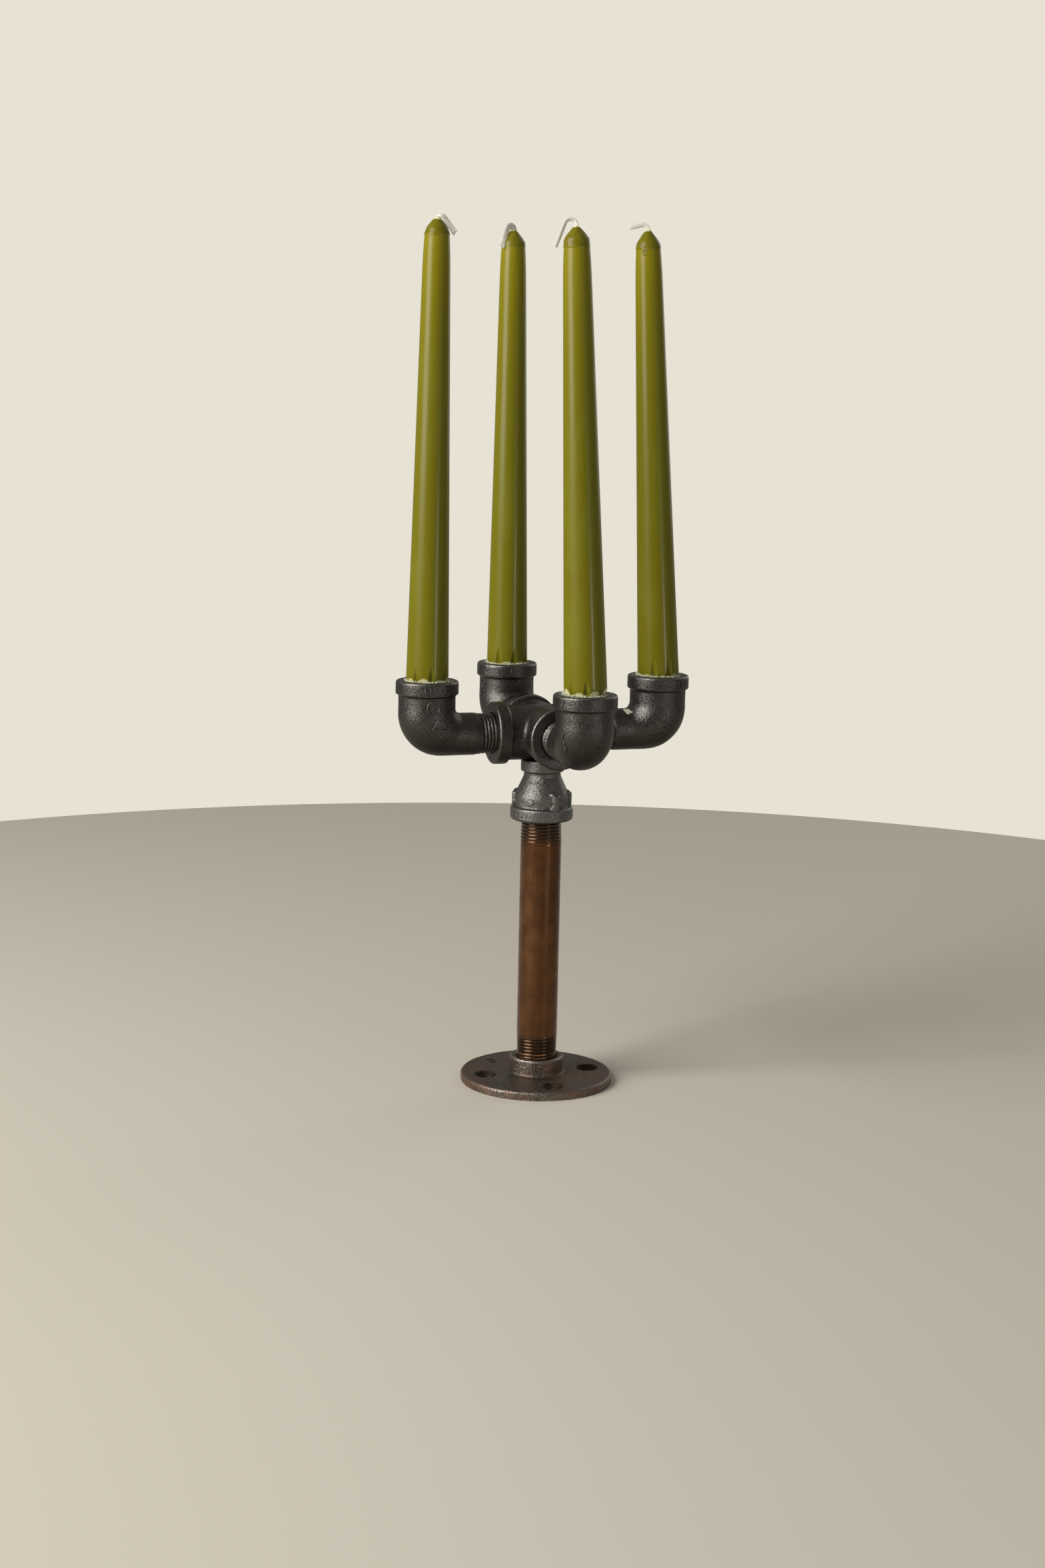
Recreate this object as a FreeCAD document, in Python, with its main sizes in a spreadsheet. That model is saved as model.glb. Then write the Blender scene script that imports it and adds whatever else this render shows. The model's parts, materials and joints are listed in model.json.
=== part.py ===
"""Four-light candelabra screwed together from half-inch pipe fittings. Millimetres, +Z up.

A floor flange carries a pipe nipple, a bell reducer and a four-way cross. A street elbow in
each port of the cross turns its mouth up and holds a taper candle, which stands in a seat of
shaved wax. The origin is the centre of the flange's underside, and the arms lie along X and Y.
"""
import FreeCAD, Part
import os

import Sketcher
from FreeCAD import Placement, Rotation, Vector

SIZES = [
    # half-inch pipe and its tapered thread
    ("pipe_outside", 21.34),
    ("pipe_bore", 15.8),
    ("thread_pitch", 1.814),
    ("thread_depth", 1.15),
    ("thread_half_angle", 1.79),
    ("thread_taper", 0.0625),
    ("thread_clearance", 0.08),
    # floor flange
    ("flange_diameter", 80.2),
    ("flange_thickness", 4.7),
    ("flange_edge_round", 1.6),
    ("hub_diameter", 28.4),
    ("hub_top", 13.8),
    ("hub_mouth_diameter", 23.2),
    ("hub_mouth_depth", 1.6),
    ("screw_circle", 56.0),
    ("screw_hole_diameter", 7.0),
    ("countersink_diameter", 12.8),
    ("screw_hole_turn", -2.0),
    # post nipple, six inches long
    ("post_bottom", 0.8),
    ("post_length", 152.4),
    ("post_lower_thread", 25.0),
    ("post_upper_thread", 22.0),
    # bell reducer
    ("reducer_bottom", 141.2),
    ("reducer_band_diameter", 32.3),
    ("reducer_band_length", 7.0),
    ("reducer_bell_diameter", 28.6),
    ("reducer_bell_round", 6.0),
    ("reducer_neck_diameter", 19.2),
    ("reducer_top_diameter", 22.5),
    ("reducer_top_length", 6.4),
    # quarter-inch close nipple between the reducer and the cross
    ("small_pipe_outside", 13.72),
    ("small_pipe_bore", 9.2),
    ("close_nipple_length", 22.2),
    # cross and street elbows
    ("arm_height", 187.3),
    ("arm_reach", 63.1),
    ("port_length", 28.4),
    ("band_diameter", 32.2),
    ("band_length", 7.1),
    ("band_round", 1.1),
    ("tube_diameter", 28.4),
    ("socket_depth", 14.0),
    ("cross_passage", 18.4),
    ("elbow_body_diameter", 29.2),
    ("elbow_barrel_diameter", 21.8),
    ("elbow_male_end", 41.4),
    ("elbow_thread_length", 16.2),
    ("elbow_inner_round", 3.0),
    ("elbow_outer_round", 22.0),
    ("socket_mouth_diameter", 23.4),
    # taper candles, their wicks and the wax they stand in
    ("candle_base_diameter", 21.7),
    ("candle_shoulder_diameter", 12.6),
    ("candle_tip_height", 7.4),
    ("candle_tip_diameter", 3.2),
    ("candle_plug_diameter", 18.4),
    ("candle_plug_length", 13.2),
    ("candle_foot", 0.95),
    ("wick_diameter", 1.9),
    ("wick_hole_diameter", 2.3),
    ("wax_seat_inner_diameter", 20.0),
    ("wax_seat_outer_diameter", 26.0),
    ("wax_seat_top", 0.3),
]

# Each arm's turn about Z, its candle's height above the mouth, and which way and how far the candle leans.
ARMS = {
    "right": {"turn": 0.0, "candle_height": 227.3, "lean_towards": 161.5, "lean": 3.0},
    "back": {"turn": 90.0, "candle_height": 227.6, "lean_towards": 161.5, "lean": 0.2},
    "left": {"turn": 180.0, "candle_height": 229.4, "lean_towards": -18.5, "lean": 0.5},
    "front": {"turn": 270.0, "candle_height": 225.0, "lean_towards": 161.5, "lean": 2.5},
}

# Each wick stands up from its candle, curls over towards one side and runs straight to its end.
WICKS = {
    "right": {"towards": 161.5, "rise": 2.0, "curl": 105.0, "radius": 2.8, "run": 5.5},
    "back": {"towards": 175.0, "rise": 1.4, "curl": 158.0, "radius": 2.6, "run": 8.0},
    "left": {"towards": -18.5, "rise": 0.6, "curl": 133.0, "radius": 2.4, "run": 8.5},
    "front": {"towards": 170.0, "rise": 1.8, "curl": 152.0, "radius": 3.2, "run": 10.0},
}

BEND_SECTIONS = 8
ALONG_X = Rotation(Vector(0, 1, 0), 90)
UPSIDE_DOWN = Rotation(Vector(1, 0, 0), 180)

document = FreeCAD.newDocument("candelabra")
sheet = document.addObject("Spreadsheet::Sheet", "sizes")
for row, (alias, value) in enumerate(SIZES, start=1):
    sheet.set(f"A{row}", alias)
    sheet.set(f"B{row}", str(value))
    sheet.setAlias(f"B{row}", alias)
document.recompute()
nodes = []


def number(expression):
    """The value of an expression over the sheet, for shapes that are set in code."""
    return float(sheet.evalExpression(expression.replace("sizes.", "")))


def bound(kind, name, **expressions):
    """A document object whose properties follow expressions over the sheet."""
    made = document.addObject(kind, name)
    for prop, expression in expressions.items():
        made.setExpression(prop.replace("__", "."), expression)
    return made


def along_x(made, start):
    """Lay a cylinder or cone along X, starting at an expression for x."""
    made.Placement = Placement(Vector(), ALONG_X)
    made.setExpression("Placement.Base.x", start)
    return made


def raised(made, height):
    """Lift an upright cylinder or cone to an expression for z."""
    made.setExpression("Placement.Base.z", height)
    return made


def rounded_band(name, diameter, length, start):
    """A fitting's thick band lying along X, with both rims rounded."""
    plain = bound("Part::Cylinder", f"{name}_plain", Radius=f"{diameter} / 2", Height=length)
    along_x(plain, start)
    band = document.addObject("Part::Fillet", name)
    band.Base = plain
    rim = number("sizes.band_round")
    band.Edges = [(1, rim, rim), (3, rim, rim)]
    return band


def fused(name, pieces):
    made = document.addObject("Part::MultiFuse", name)
    made.Shapes = pieces
    return made


def cut(name, base, tool):
    made = document.addObject("Part::Cut", name)
    made.Base = base
    made.Tool = tool
    return made


def finish(made, node):
    """Name a sub-part and put it on the list of nodes to write."""
    made.Label = node
    nodes.append(made)
    return made


def revolved(name, outline):
    """A PartDesign body turned about Z from an outline of (radius, height) expressions."""
    body = document.addObject("PartDesign::Body", name)
    plane = next(item for item in body.Origin.OriginFeatures if item.Role == "XZ_Plane")
    sketch = body.newObject("Sketcher::SketchObject", f"{name}_outline")
    sketch.AttachmentSupport = (plane, [""])
    sketch.MapMode = "FlatFace"
    corners = [Vector(number(radius), number(height), 0) for radius, height in outline]
    for index, corner in enumerate(corners):
        following = corners[(index + 1) % len(corners)]
        sketch.addGeometry(Part.LineSegment(corner, following), False)
    for index, corner in enumerate(corners):
        before = (index - 1) % len(corners)
        sketch.addConstraint(Sketcher.Constraint("Coincident", before, 2, index, 1))
        for kind, distance, expression in zip(("DistanceX", "DistanceY"), corner, outline[index]):
            if abs(distance) < 1e-9:
                axis = -2 if kind == "DistanceX" else -1
                sketch.addConstraint(Sketcher.Constraint("PointOnObject", index, 1, axis))
                continue
            at = sketch.addConstraint(Sketcher.Constraint(kind, -1, 1, index, 1, distance))
            sketch.setExpression(f"Constraints[{at}]", expression)
    turned = body.newObject("PartDesign::Revolution", f"{name}_turned")
    turned.Profile = sketch
    turned.ReferenceAxis = (sketch, ["V_Axis"])
    turned.Angle = 360
    document.recompute()
    return body


def round_rims(body, name, radius, rims):
    """Round the circular edges of a turned body that lie at the given (radius, height) places."""
    base = body.Tip
    wanted = [(number(rim_radius), number(height)) for rim_radius, height in rims]
    chosen = []
    for index, edge in enumerate(base.Shape.Edges, start=1):
        if not isinstance(edge.Curve, Part.Circle):
            continue
        place = (edge.Curve.Radius, edge.Curve.Center.z)
        if any(abs(place[0] - r) < 1e-3 and abs(place[1] - z) < 1e-3 for r, z in wanted):
            chosen.append(f"Edge{index}")
    rounding = body.newObject("PartDesign::Fillet", name)
    rounding.Base = (base, chosen)
    rounding.setExpression("Radius", radius)
    body.Tip = rounding
    document.recompute()


def thread_groove(name, end_radius, length):
    """The groove of a right-hand tapered thread that starts at z = 0 and widens upwards."""
    helix = bound(
        "Part::Helix", f"{name}_helix",
        Pitch="sizes.thread_pitch", Radius=end_radius, Angle="sizes.thread_half_angle",
        Height=f"{length} + sizes.thread_pitch",
    )
    crest = number(end_radius)
    depth = number("sizes.thread_depth")
    reach = depth * 0.5
    half_width = number("sizes.thread_pitch") * 0.42
    outer_half_width = half_width * (depth + reach) / depth
    root = Vector(crest - depth, 0, 0)
    upper = Vector(crest + reach, 0, outer_half_width)
    lower = Vector(crest + reach, 0, -outer_half_width)
    section = document.addObject("Part::Feature", f"{name}_section")
    section.Shape = Part.makePolygon([root, lower, upper, root])
    groove = document.addObject("Part::Sweep", f"{name}_groove")
    groove.Sections = [section]
    groove.Spine = (helix, [])
    groove.Solid = True
    groove.Frenet = True
    return groove


def tapered_bore(name, wide_radius, length):
    """A cone that clears a tapered male thread; its wide end is at z = 0."""
    return bound(
        "Part::Cone", name, Height=length,
        Radius1=f"{wide_radius} + sizes.thread_clearance",
        Radius2=f"{wide_radius} + sizes.thread_clearance - ({length}) * sizes.thread_taper / 2",
    )


def floor_flange():
    rim = "sizes.flange_diameter / 2"
    hub = "sizes.hub_diameter / 2"
    top = "sizes.flange_thickness"
    start = "(sizes.post_bottom + sizes.post_lower_thread)"
    low_bore = f"sizes.pipe_outside / 2 + sizes.thread_clearance - {start} * sizes.thread_taper / 2"
    mouth_height = "sizes.hub_top - sizes.hub_mouth_depth"
    high_bore = f"{low_bore} + ({mouth_height}) * sizes.thread_taper / 2"
    body = revolved("flange_plate", [
        (low_bore, "0"),
        (rim, "0"),
        (rim, top),
        (hub, top),
        (hub, "sizes.hub_top"),
        ("sizes.hub_mouth_diameter / 2", "sizes.hub_top"),
        (high_bore, mouth_height),
    ])
    round_rims(body, "plate_rim_round", "sizes.flange_edge_round", [(rim, top)])
    round_rims(body, "hub_rounds", "sizes.band_round", [(hub, top), (hub, "sizes.hub_top")])
    holes = []
    for index in range(4):
        shank = bound(
            "Part::Cylinder", f"screw_hole_{index}",
            Radius="sizes.screw_hole_diameter / 2", Height="sizes.flange_thickness",
        )
        head = bound(
            "Part::Cone", f"countersink_{index}", Radius1="sizes.screw_hole_diameter / 2",
            Radius2="sizes.countersink_diameter / 2",
            Height="(sizes.countersink_diameter - sizes.screw_hole_diameter) / 2",
        )
        raised(head, "sizes.flange_thickness - (sizes.countersink_diameter - sizes.screw_hole_diameter) / 2")
        hole = fused(f"screw_opening_{index}", [shank, head])
        angle = f"(sizes.screw_hole_turn + {90 * index}) * 1 deg"
        hole.setExpression("Placement.Base.x", f"sizes.screw_circle / 2 * cos({angle})")
        hole.setExpression("Placement.Base.y", f"sizes.screw_circle / 2 * sin({angle})")
        holes.append(hole)
    finish(cut("flange", body, fused("screw_openings", holes)), "floor_flange")


def post_nipple():
    """The pipe between flange and reducer, with a tapered thread cut on each end."""
    pipe = "sizes.pipe_outside / 2"
    lower_end = f"{pipe} - sizes.post_lower_thread * sizes.thread_taper / 2"
    upper_end = f"{pipe} - sizes.post_upper_thread * sizes.thread_taper / 2"
    body = revolved("post_pipe", [
        ("sizes.pipe_bore / 2", "0"),
        (lower_end, "0"),
        (pipe, "sizes.post_lower_thread"),
        (pipe, "sizes.post_length - sizes.post_upper_thread"),
        (upper_end, "sizes.post_length"),
        ("sizes.pipe_bore / 2", "sizes.post_length"),
    ])
    lower = thread_groove("post_lower", lower_end, "sizes.post_lower_thread")
    raised(lower, "-sizes.thread_pitch")
    upper = thread_groove("post_upper", upper_end, "sizes.post_upper_thread")
    upper.Placement = Placement(Vector(), UPSIDE_DOWN)
    raised(upper, "sizes.post_length + sizes.thread_pitch")
    post = cut("post", body, fused("post_grooves", [lower, upper]))
    finish(raised(post, "sizes.post_bottom"), "post_nipple")


def bell_reducer():
    band = "sizes.reducer_band_diameter / 2"
    bell = "sizes.reducer_bell_diameter / 2"
    neck = "sizes.reducer_neck_diameter / 2"
    top = "sizes.reducer_top_diameter / 2"
    height = "(sizes.arm_height - sizes.tube_diameter / 2 - sizes.reducer_bottom)"
    shoulder = f"{height} - sizes.reducer_top_length"
    bell_top = f"{height} * 0.4"
    neck_bottom = f"{height} * 0.73"
    post_top = "(sizes.post_bottom + sizes.post_length - sizes.reducer_bottom)"
    mouth_bore = (
        "sizes.pipe_outside / 2 + sizes.thread_clearance"
        f" - (sizes.post_upper_thread - {post_top}) * sizes.thread_taper / 2"
    )
    deep_bore = f"{mouth_bore} - {post_top} * sizes.thread_taper / 2"
    small_bore = "sizes.small_pipe_outside / 2 + sizes.thread_clearance"
    body = revolved("reducer_casting", [
        (mouth_bore, "0"),
        (band, "0"),
        (band, "sizes.reducer_band_length"),
        (bell, "sizes.reducer_band_length"),
        (bell, bell_top),
        (f"{neck} + 0.9", f"{height} * 0.66"),
        (neck, neck_bottom),
        (neck, shoulder),
        (top, shoulder),
        (top, height),
        (small_bore, height),
        (small_bore, f"{height} - 12"),
        (deep_bore, f"{post_top} + 3"),
        (deep_bore, post_top),
    ])
    round_rims(body, "reducer_band_rims", "sizes.band_round", [
        (band, "0"),
        (band, "sizes.reducer_band_length"),
        (top, height),
    ])
    round_rims(body, "reducer_bell_round", "sizes.reducer_bell_round", [(bell, bell_top)])
    finish(raised(body, "sizes.reducer_bottom"), "bell_reducer")


def close_nipple():
    """The short quarter-inch nipple that joins the reducer to the underside of the cross."""
    tube = bound(
        "Part::Cylinder", "close_nipple_tube",
        Radius="sizes.small_pipe_outside / 2", Height="sizes.close_nipple_length",
    )
    bore = bound(
        "Part::Cylinder", "close_nipple_bore",
        Radius="sizes.small_pipe_bore / 2", Height="sizes.close_nipple_length",
    )
    nipple = cut("close_nipple_cut", tube, bore)
    bottom = "sizes.arm_height - sizes.tube_diameter / 2 - sizes.close_nipple_length / 2"
    finish(raised(nipple, bottom), "close_nipple")


def cross_fitting():
    """The four-way cross, built round its own centre and then lifted to the arms' height."""
    face = "sizes.port_length"
    thread_end = "sizes.arm_reach - sizes.elbow_male_end"
    engagement = f"({face} - ({thread_end}))"
    port_radius = (
        "sizes.pipe_outside / 2"
        f" - (sizes.elbow_thread_length - {engagement}) * sizes.thread_taper / 2"
    )
    solids = []
    hollows = []
    for name, arm in ARMS.items():
        tube = bound("Part::Cylinder", f"cross_tube_{name}", Radius="sizes.tube_diameter / 2", Height=face)
        along_x(tube, "0")
        band = rounded_band(
            f"cross_band_{name}", "sizes.band_diameter", "sizes.band_length",
            f"{face} - sizes.band_length",
        )
        socket = tapered_bore(f"cross_socket_{name}", port_radius, "sizes.socket_depth")
        socket.Placement = Placement(Vector(), Rotation(Vector(0, 1, 0), -90))
        socket.setExpression("Placement.Base.x", face)
        passage = bound(
            "Part::Cylinder", f"cross_passage_{name}", Radius="sizes.cross_passage / 2", Height=face,
        )
        along_x(passage, "0")
        port = fused(f"cross_port_{name}", [tube, band])
        opening = fused(f"cross_opening_{name}", [socket, passage])
        for turned in (port, opening):
            turned.Placement = Placement(Vector(), Rotation(Vector(0, 0, 1), arm["turn"]))
        solids.append(port)
        hollows.append(opening)
    nipple_hole = bound(
        "Part::Cylinder", "cross_nipple_hole", Height="sizes.tube_diameter / 2",
        Radius="sizes.small_pipe_outside / 2 + sizes.thread_clearance",
    )
    hollows.append(raised(nipple_hole, "-sizes.tube_diameter / 2"))
    cross = cut("cross", fused("cross_casting", solids), fused("cross_hollows", hollows))
    finish(raised(cross, "sizes.arm_height"), "cross_fitting")


def elbow_bend(name):
    """The curved part of an elbow, lofted through circles that fan out from its tight inner corner."""
    reach = number("sizes.arm_reach")
    inner = number("sizes.elbow_inner_round")
    outer = number("sizes.elbow_outer_round")
    body = number("sizes.elbow_body_diameter / 2")
    barrel = number("sizes.elbow_barrel_diameter / 2")
    corner = Vector(reach - body - inner, 0, barrel + inner)
    arc_centre = Vector(reach + body - outer, 0, outer - barrel)
    to_corner = corner - arc_centre
    circles = []
    for index in range(BEND_SECTIONS + 1):
        turn = Rotation(Vector(0, 1, 0), 90 * index / BEND_SECTIONS)
        ray = turn.multVec(Vector(1, 0, 0))
        along = to_corner.dot(ray)
        far = (along ** 2 - to_corner.dot(to_corner) + outer ** 2) ** 0.5 - along
        # Past the ends of the outer arc the outline runs straight, up the side and along the bottom.
        if index < BEND_SECTIONS:
            to_side = (reach + body - corner.x) / ray.x
            if corner.z + to_side * ray.z >= arc_centre.z:
                far = to_side
        if index > 0:
            to_bottom = (-barrel - corner.z) / ray.z
            if corner.x + to_bottom * ray.x <= arc_centre.x:
                far = to_bottom
        radius = (far - inner) / 2
        circle = Part.Wire(Part.Circle(Vector(inner + radius, 0, 0), Vector(0, 0, 1), radius).toShape())
        circle.Placement = Placement(corner, turn)
        circles.append(circle)
    bend = document.addObject("Part::Feature", name)
    bend.Shape = Part.makeLoft(circles, True)
    return bend


def street_elbow(side, turn):
    """One street elbow, modelled on the +X arm and turned to its own side.

    Its male thread lies along X at z = 0 and its mouth faces up at the arm's reach.
    """
    body_radius = "sizes.elbow_body_diameter / 2"
    barrel_radius = "sizes.elbow_barrel_diameter / 2"
    male_end = "sizes.arm_reach - sizes.elbow_male_end"
    thread_start = f"{male_end} + sizes.elbow_thread_length"
    end_radius = "sizes.pipe_outside / 2 - sizes.elbow_thread_length * sizes.thread_taper / 2"
    corner_x = f"sizes.arm_reach - {body_radius} - sizes.elbow_inner_round"
    corner_z = f"{barrel_radius} + sizes.elbow_inner_round"

    upright = bound(
        "Part::Cylinder", f"elbow_upright_{side}",
        Radius=body_radius, Height=f"sizes.port_length - ({corner_z})",
    )
    upright.setExpression("Placement.Base.x", "sizes.arm_reach")
    raised(upright, corner_z)
    band = rounded_band(f"elbow_band_{side}", "sizes.band_diameter", "sizes.band_length", "0")
    band.Placement = Placement(Vector(), Rotation(Vector(0, 1, 0), -90))
    band.setExpression("Placement.Base.x", "sizes.arm_reach")
    raised(band, "sizes.port_length - sizes.band_length")
    barrel = bound(
        "Part::Cylinder", f"elbow_barrel_{side}", Radius=barrel_radius,
        Height=f"{corner_x} - ({thread_start})",
    )
    along_x(barrel, thread_start)
    shank = bound(
        "Part::Cone", f"elbow_shank_{side}", Radius1=end_radius,
        Radius2="sizes.pipe_outside / 2", Height="sizes.elbow_thread_length",
    )
    along_x(shank, male_end)
    groove = thread_groove(f"elbow_{side}", end_radius, f"sizes.elbow_thread_length - sizes.thread_pitch")
    along_x(groove, f"{male_end} - sizes.thread_pitch")
    threaded = cut(f"elbow_thread_{side}", shank, groove)
    bend = elbow_bend(f"elbow_bend_{side}")
    casting = fused(f"elbow_casting_{side}", [upright, band, barrel, threaded, bend])

    lower_passage = bound(
        "Part::Cylinder", f"elbow_lower_passage_{side}", Radius="sizes.pipe_bore / 2",
        Height="sizes.elbow_male_end",
    )
    along_x(lower_passage, male_end)
    corner_ball = bound("Part::Sphere", f"elbow_corner_ball_{side}", Radius="sizes.pipe_bore / 2")
    upper_passage = bound(
        "Part::Cylinder", f"elbow_upper_passage_{side}", Radius="sizes.pipe_bore / 2",
        Height="sizes.port_length",
    )
    socket = tapered_bore(f"elbow_socket_{side}", "sizes.pipe_outside / 2", "sizes.socket_depth")
    socket.Placement = Placement(Vector(), UPSIDE_DOWN)
    raised(socket, "sizes.port_length")
    mouth_depth = "(sizes.socket_mouth_diameter - sizes.pipe_outside) / 2"
    mouth = bound(
        "Part::Cone", f"elbow_mouth_{side}", Radius1="sizes.pipe_outside / 2",
        Radius2="sizes.socket_mouth_diameter / 2", Height=mouth_depth,
    )
    raised(mouth, f"sizes.port_length - {mouth_depth}")
    for hollow in (corner_ball, upper_passage, socket, mouth):
        hollow.setExpression("Placement.Base.x", "sizes.arm_reach")
    hollows = fused(
        f"elbow_hollows_{side}", [lower_passage, corner_ball, upper_passage, socket, mouth],
    )
    elbow = cut(f"elbow_{side}", casting, hollows)
    elbow.Placement = Placement(Vector(), Rotation(Vector(0, 0, 1), turn))
    finish(raised(elbow, "sizes.arm_height"), f"street_elbow_{side}")


def stand_in_mouth(made, turn, lean=None):
    """Stand a piece in the mouth of the arm at a turn about Z, leaning if a rotation is given."""
    made.Placement = Placement(Vector(), lean or Rotation())
    made.setExpression("Placement.Base.x", f"sizes.arm_reach * cos({turn} * 1 deg)")
    made.setExpression("Placement.Base.y", f"sizes.arm_reach * sin({turn} * 1 deg)")
    return raised(made, "sizes.arm_height + sizes.port_length")


def leaning(arm):
    """The rotation that tips Z by an arm's lean towards its azimuth."""
    sideways = Rotation(Vector(0, 0, 1), arm["lean_towards"]).multVec(Vector(0, 1, 0))
    return Rotation(sideways, arm["lean"])


def taper_candle(side, arm):
    """A taper candle with a hole for its wick and a narrower plug that stands in the socket."""
    height = str(arm["candle_height"])
    hole = "sizes.wick_hole_diameter / 2"
    plug = "sizes.candle_plug_diameter / 2"
    body = revolved(f"candle_{side}", [
        (hole, "-sizes.candle_plug_length"),
        (f"{plug} - 0.8", "-sizes.candle_plug_length"),
        (plug, "sizes.candle_foot"),
        ("sizes.candle_base_diameter / 2", "sizes.candle_foot"),
        ("sizes.candle_shoulder_diameter / 2", f"{height} - sizes.candle_tip_height"),
        ("sizes.candle_tip_diameter / 2", height),
        (hole, height),
    ])
    round_rims(body, f"candle_shoulder_{side}", "5", [
        ("sizes.candle_shoulder_diameter / 2", f"{height} - sizes.candle_tip_height"),
    ])
    finish(stand_in_mouth(body, arm["turn"], leaning(arm)), f"taper_candle_{side}")


def wick(side, arm):
    """A wick that runs the candle's whole length and curls over above its tip."""
    shape = WICKS[side]
    bottom = 1.0 - number("sizes.candle_plug_length")
    bend_start = arm["candle_height"] + shape["rise"]
    radius = shape["radius"]
    away = Rotation(Vector(0, 0, 1), shape["towards"]).multVec(Vector(1, 0, 0))
    sideways = away.cross(Vector(0, 0, 1))
    centre = Vector(0, 0, bend_start) + away * radius

    def on_curl(degrees):
        return centre + Rotation(sideways, -degrees).multVec(away * -radius)

    straight = Part.LineSegment(Vector(0, 0, bottom), Vector(0, 0, bend_start))
    curl = Part.Arc(Vector(0, 0, bend_start), on_curl(shape["curl"] / 2), on_curl(shape["curl"]))
    heading = Rotation(sideways, -shape["curl"]).multVec(Vector(0, 0, 1))
    curl_end = on_curl(shape["curl"])
    run = Part.LineSegment(curl_end, curl_end + heading * shape["run"])
    path = Part.Wire([straight.toShape(), curl.toShape(), run.toShape()])
    wick_radius = number("sizes.wick_diameter / 2")
    section = Part.Wire(Part.Circle(Vector(0, 0, bottom), Vector(0, 0, 1), wick_radius).toShape())
    strand = document.addObject("Part::Feature", f"wick_strand_{side}")
    strand.Shape = path.makePipeShell([section], True, False)
    finish(stand_in_mouth(strand, arm["turn"], leaning(arm)), f"wick_{side}")


def wax_seat(side, arm):
    """The ring of shaved wax packed round the candle in the mouth of its socket."""
    inner = "sizes.wax_seat_inner_diameter / 2"
    mouth = "sizes.socket_mouth_diameter / 2"
    depth = "(sizes.socket_mouth_diameter - sizes.pipe_outside) / 2"
    gap = "0.05"
    body = revolved(f"wax_{side}", [
        (inner, f"-({depth})"),
        (f"sizes.pipe_outside / 2 - 0.1", f"-({depth})"),
        (f"{mouth} - {gap}", gap),
        ("sizes.wax_seat_outer_diameter / 2", gap),
        ("sizes.wax_seat_outer_diameter / 2 - 0.2", "sizes.wax_seat_top"),
        (inner, "sizes.wax_seat_top"),
    ])
    finish(stand_in_mouth(body, arm["turn"]), f"wax_seat_{side}")


floor_flange()
post_nipple()
bell_reducer()
close_nipple()
cross_fitting()
for side, arm in ARMS.items():
    street_elbow(side, arm["turn"])
    wax_seat(side, arm)
    taper_candle(side, arm)
    wick(side, arm)
document.recompute()

for made in document.Objects:
    if "Invalid" in made.State or "Error" in made.State:
        raise RuntimeError(f"{made.Label} failed: {made.State}")
os.makedirs("parts", exist_ok=True)
for made in nodes:
    if made.Shape.isNull() or not made.Shape.isValid() or not made.Shape.Solids:
        raise RuntimeError(f"{made.Label} has no valid solid")
    print(f"{made.Label}: {len(made.Shape.Solids)} solid, {made.Shape.Volume:.0f} mm3")
    made.Shape.exportStep(f"parts/{made.Label}.step")
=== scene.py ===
"""The looks of a four-light candelabra of pipe fittings with olive taper candles. Metres, +Z up."""
import bmesh
import bpy
import json
import math
import random
from mathutils import Matrix, Vector, noise
from mathutils.bvhtree import BVHTree


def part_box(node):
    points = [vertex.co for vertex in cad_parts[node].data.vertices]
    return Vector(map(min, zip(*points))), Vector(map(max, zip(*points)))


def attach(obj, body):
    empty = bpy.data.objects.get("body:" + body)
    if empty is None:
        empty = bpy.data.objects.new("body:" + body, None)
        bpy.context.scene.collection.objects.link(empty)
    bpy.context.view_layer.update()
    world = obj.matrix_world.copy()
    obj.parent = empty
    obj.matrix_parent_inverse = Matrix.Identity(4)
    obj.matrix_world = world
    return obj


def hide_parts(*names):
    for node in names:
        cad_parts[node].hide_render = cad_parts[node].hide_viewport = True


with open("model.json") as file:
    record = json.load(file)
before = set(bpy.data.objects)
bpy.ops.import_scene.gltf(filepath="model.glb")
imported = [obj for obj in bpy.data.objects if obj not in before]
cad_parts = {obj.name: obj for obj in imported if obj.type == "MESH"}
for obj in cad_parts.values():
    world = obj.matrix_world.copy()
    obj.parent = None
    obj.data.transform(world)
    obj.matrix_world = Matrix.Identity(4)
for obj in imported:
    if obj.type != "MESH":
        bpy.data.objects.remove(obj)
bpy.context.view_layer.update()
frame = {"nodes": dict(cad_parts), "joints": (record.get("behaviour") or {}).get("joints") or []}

MM = 0.001
SIDES = ("left", "right", "front", "back")
JOINTS = {joint["name"]: joint for joint in frame["joints"]}
ARM_HEIGHT = JOINTS["elbow_turn_left"]["pos_m"][2]
MOUTH_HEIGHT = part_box("street_elbow_left")[1].z
CROSS_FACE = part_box("cross_fitting")[1].x
ARM_REACH = (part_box("wax_seat_right")[0].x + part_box("wax_seat_right")[1].x) / 2

# The main view: its azimuth and elevation, its roll, and the point it looks at.
VIEW_AZIMUTH = math.radians(-18.45)
VIEW_ELEVATION = math.radians(10.1)
VIEW_ROLL = math.radians(1.16)
VIEW_DISTANCE = 1.292
VIEW_AIM = (-0.01025, 0.1593)
VIEW_LENS_MM = 56.9
VIEWER_AT = math.radians(-90) + VIEW_AZIMUTH


# ---------------------------------------------------------------- node helpers

def put(tree, kind, settings=None, **inputs):
    """Add a shader node, set its properties, and set or link its named inputs."""
    made = tree.nodes.new(kind)
    for key, value in (settings or {}).items():
        setattr(made, key, value)
    for key, value in inputs.items():
        connect(tree, value, made.inputs[key.replace("_", " ")])
    return made


def connect(tree, value, socket):
    if isinstance(value, bpy.types.NodeSocket):
        tree.links.new(value, socket)
    else:
        socket.default_value = value


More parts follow.
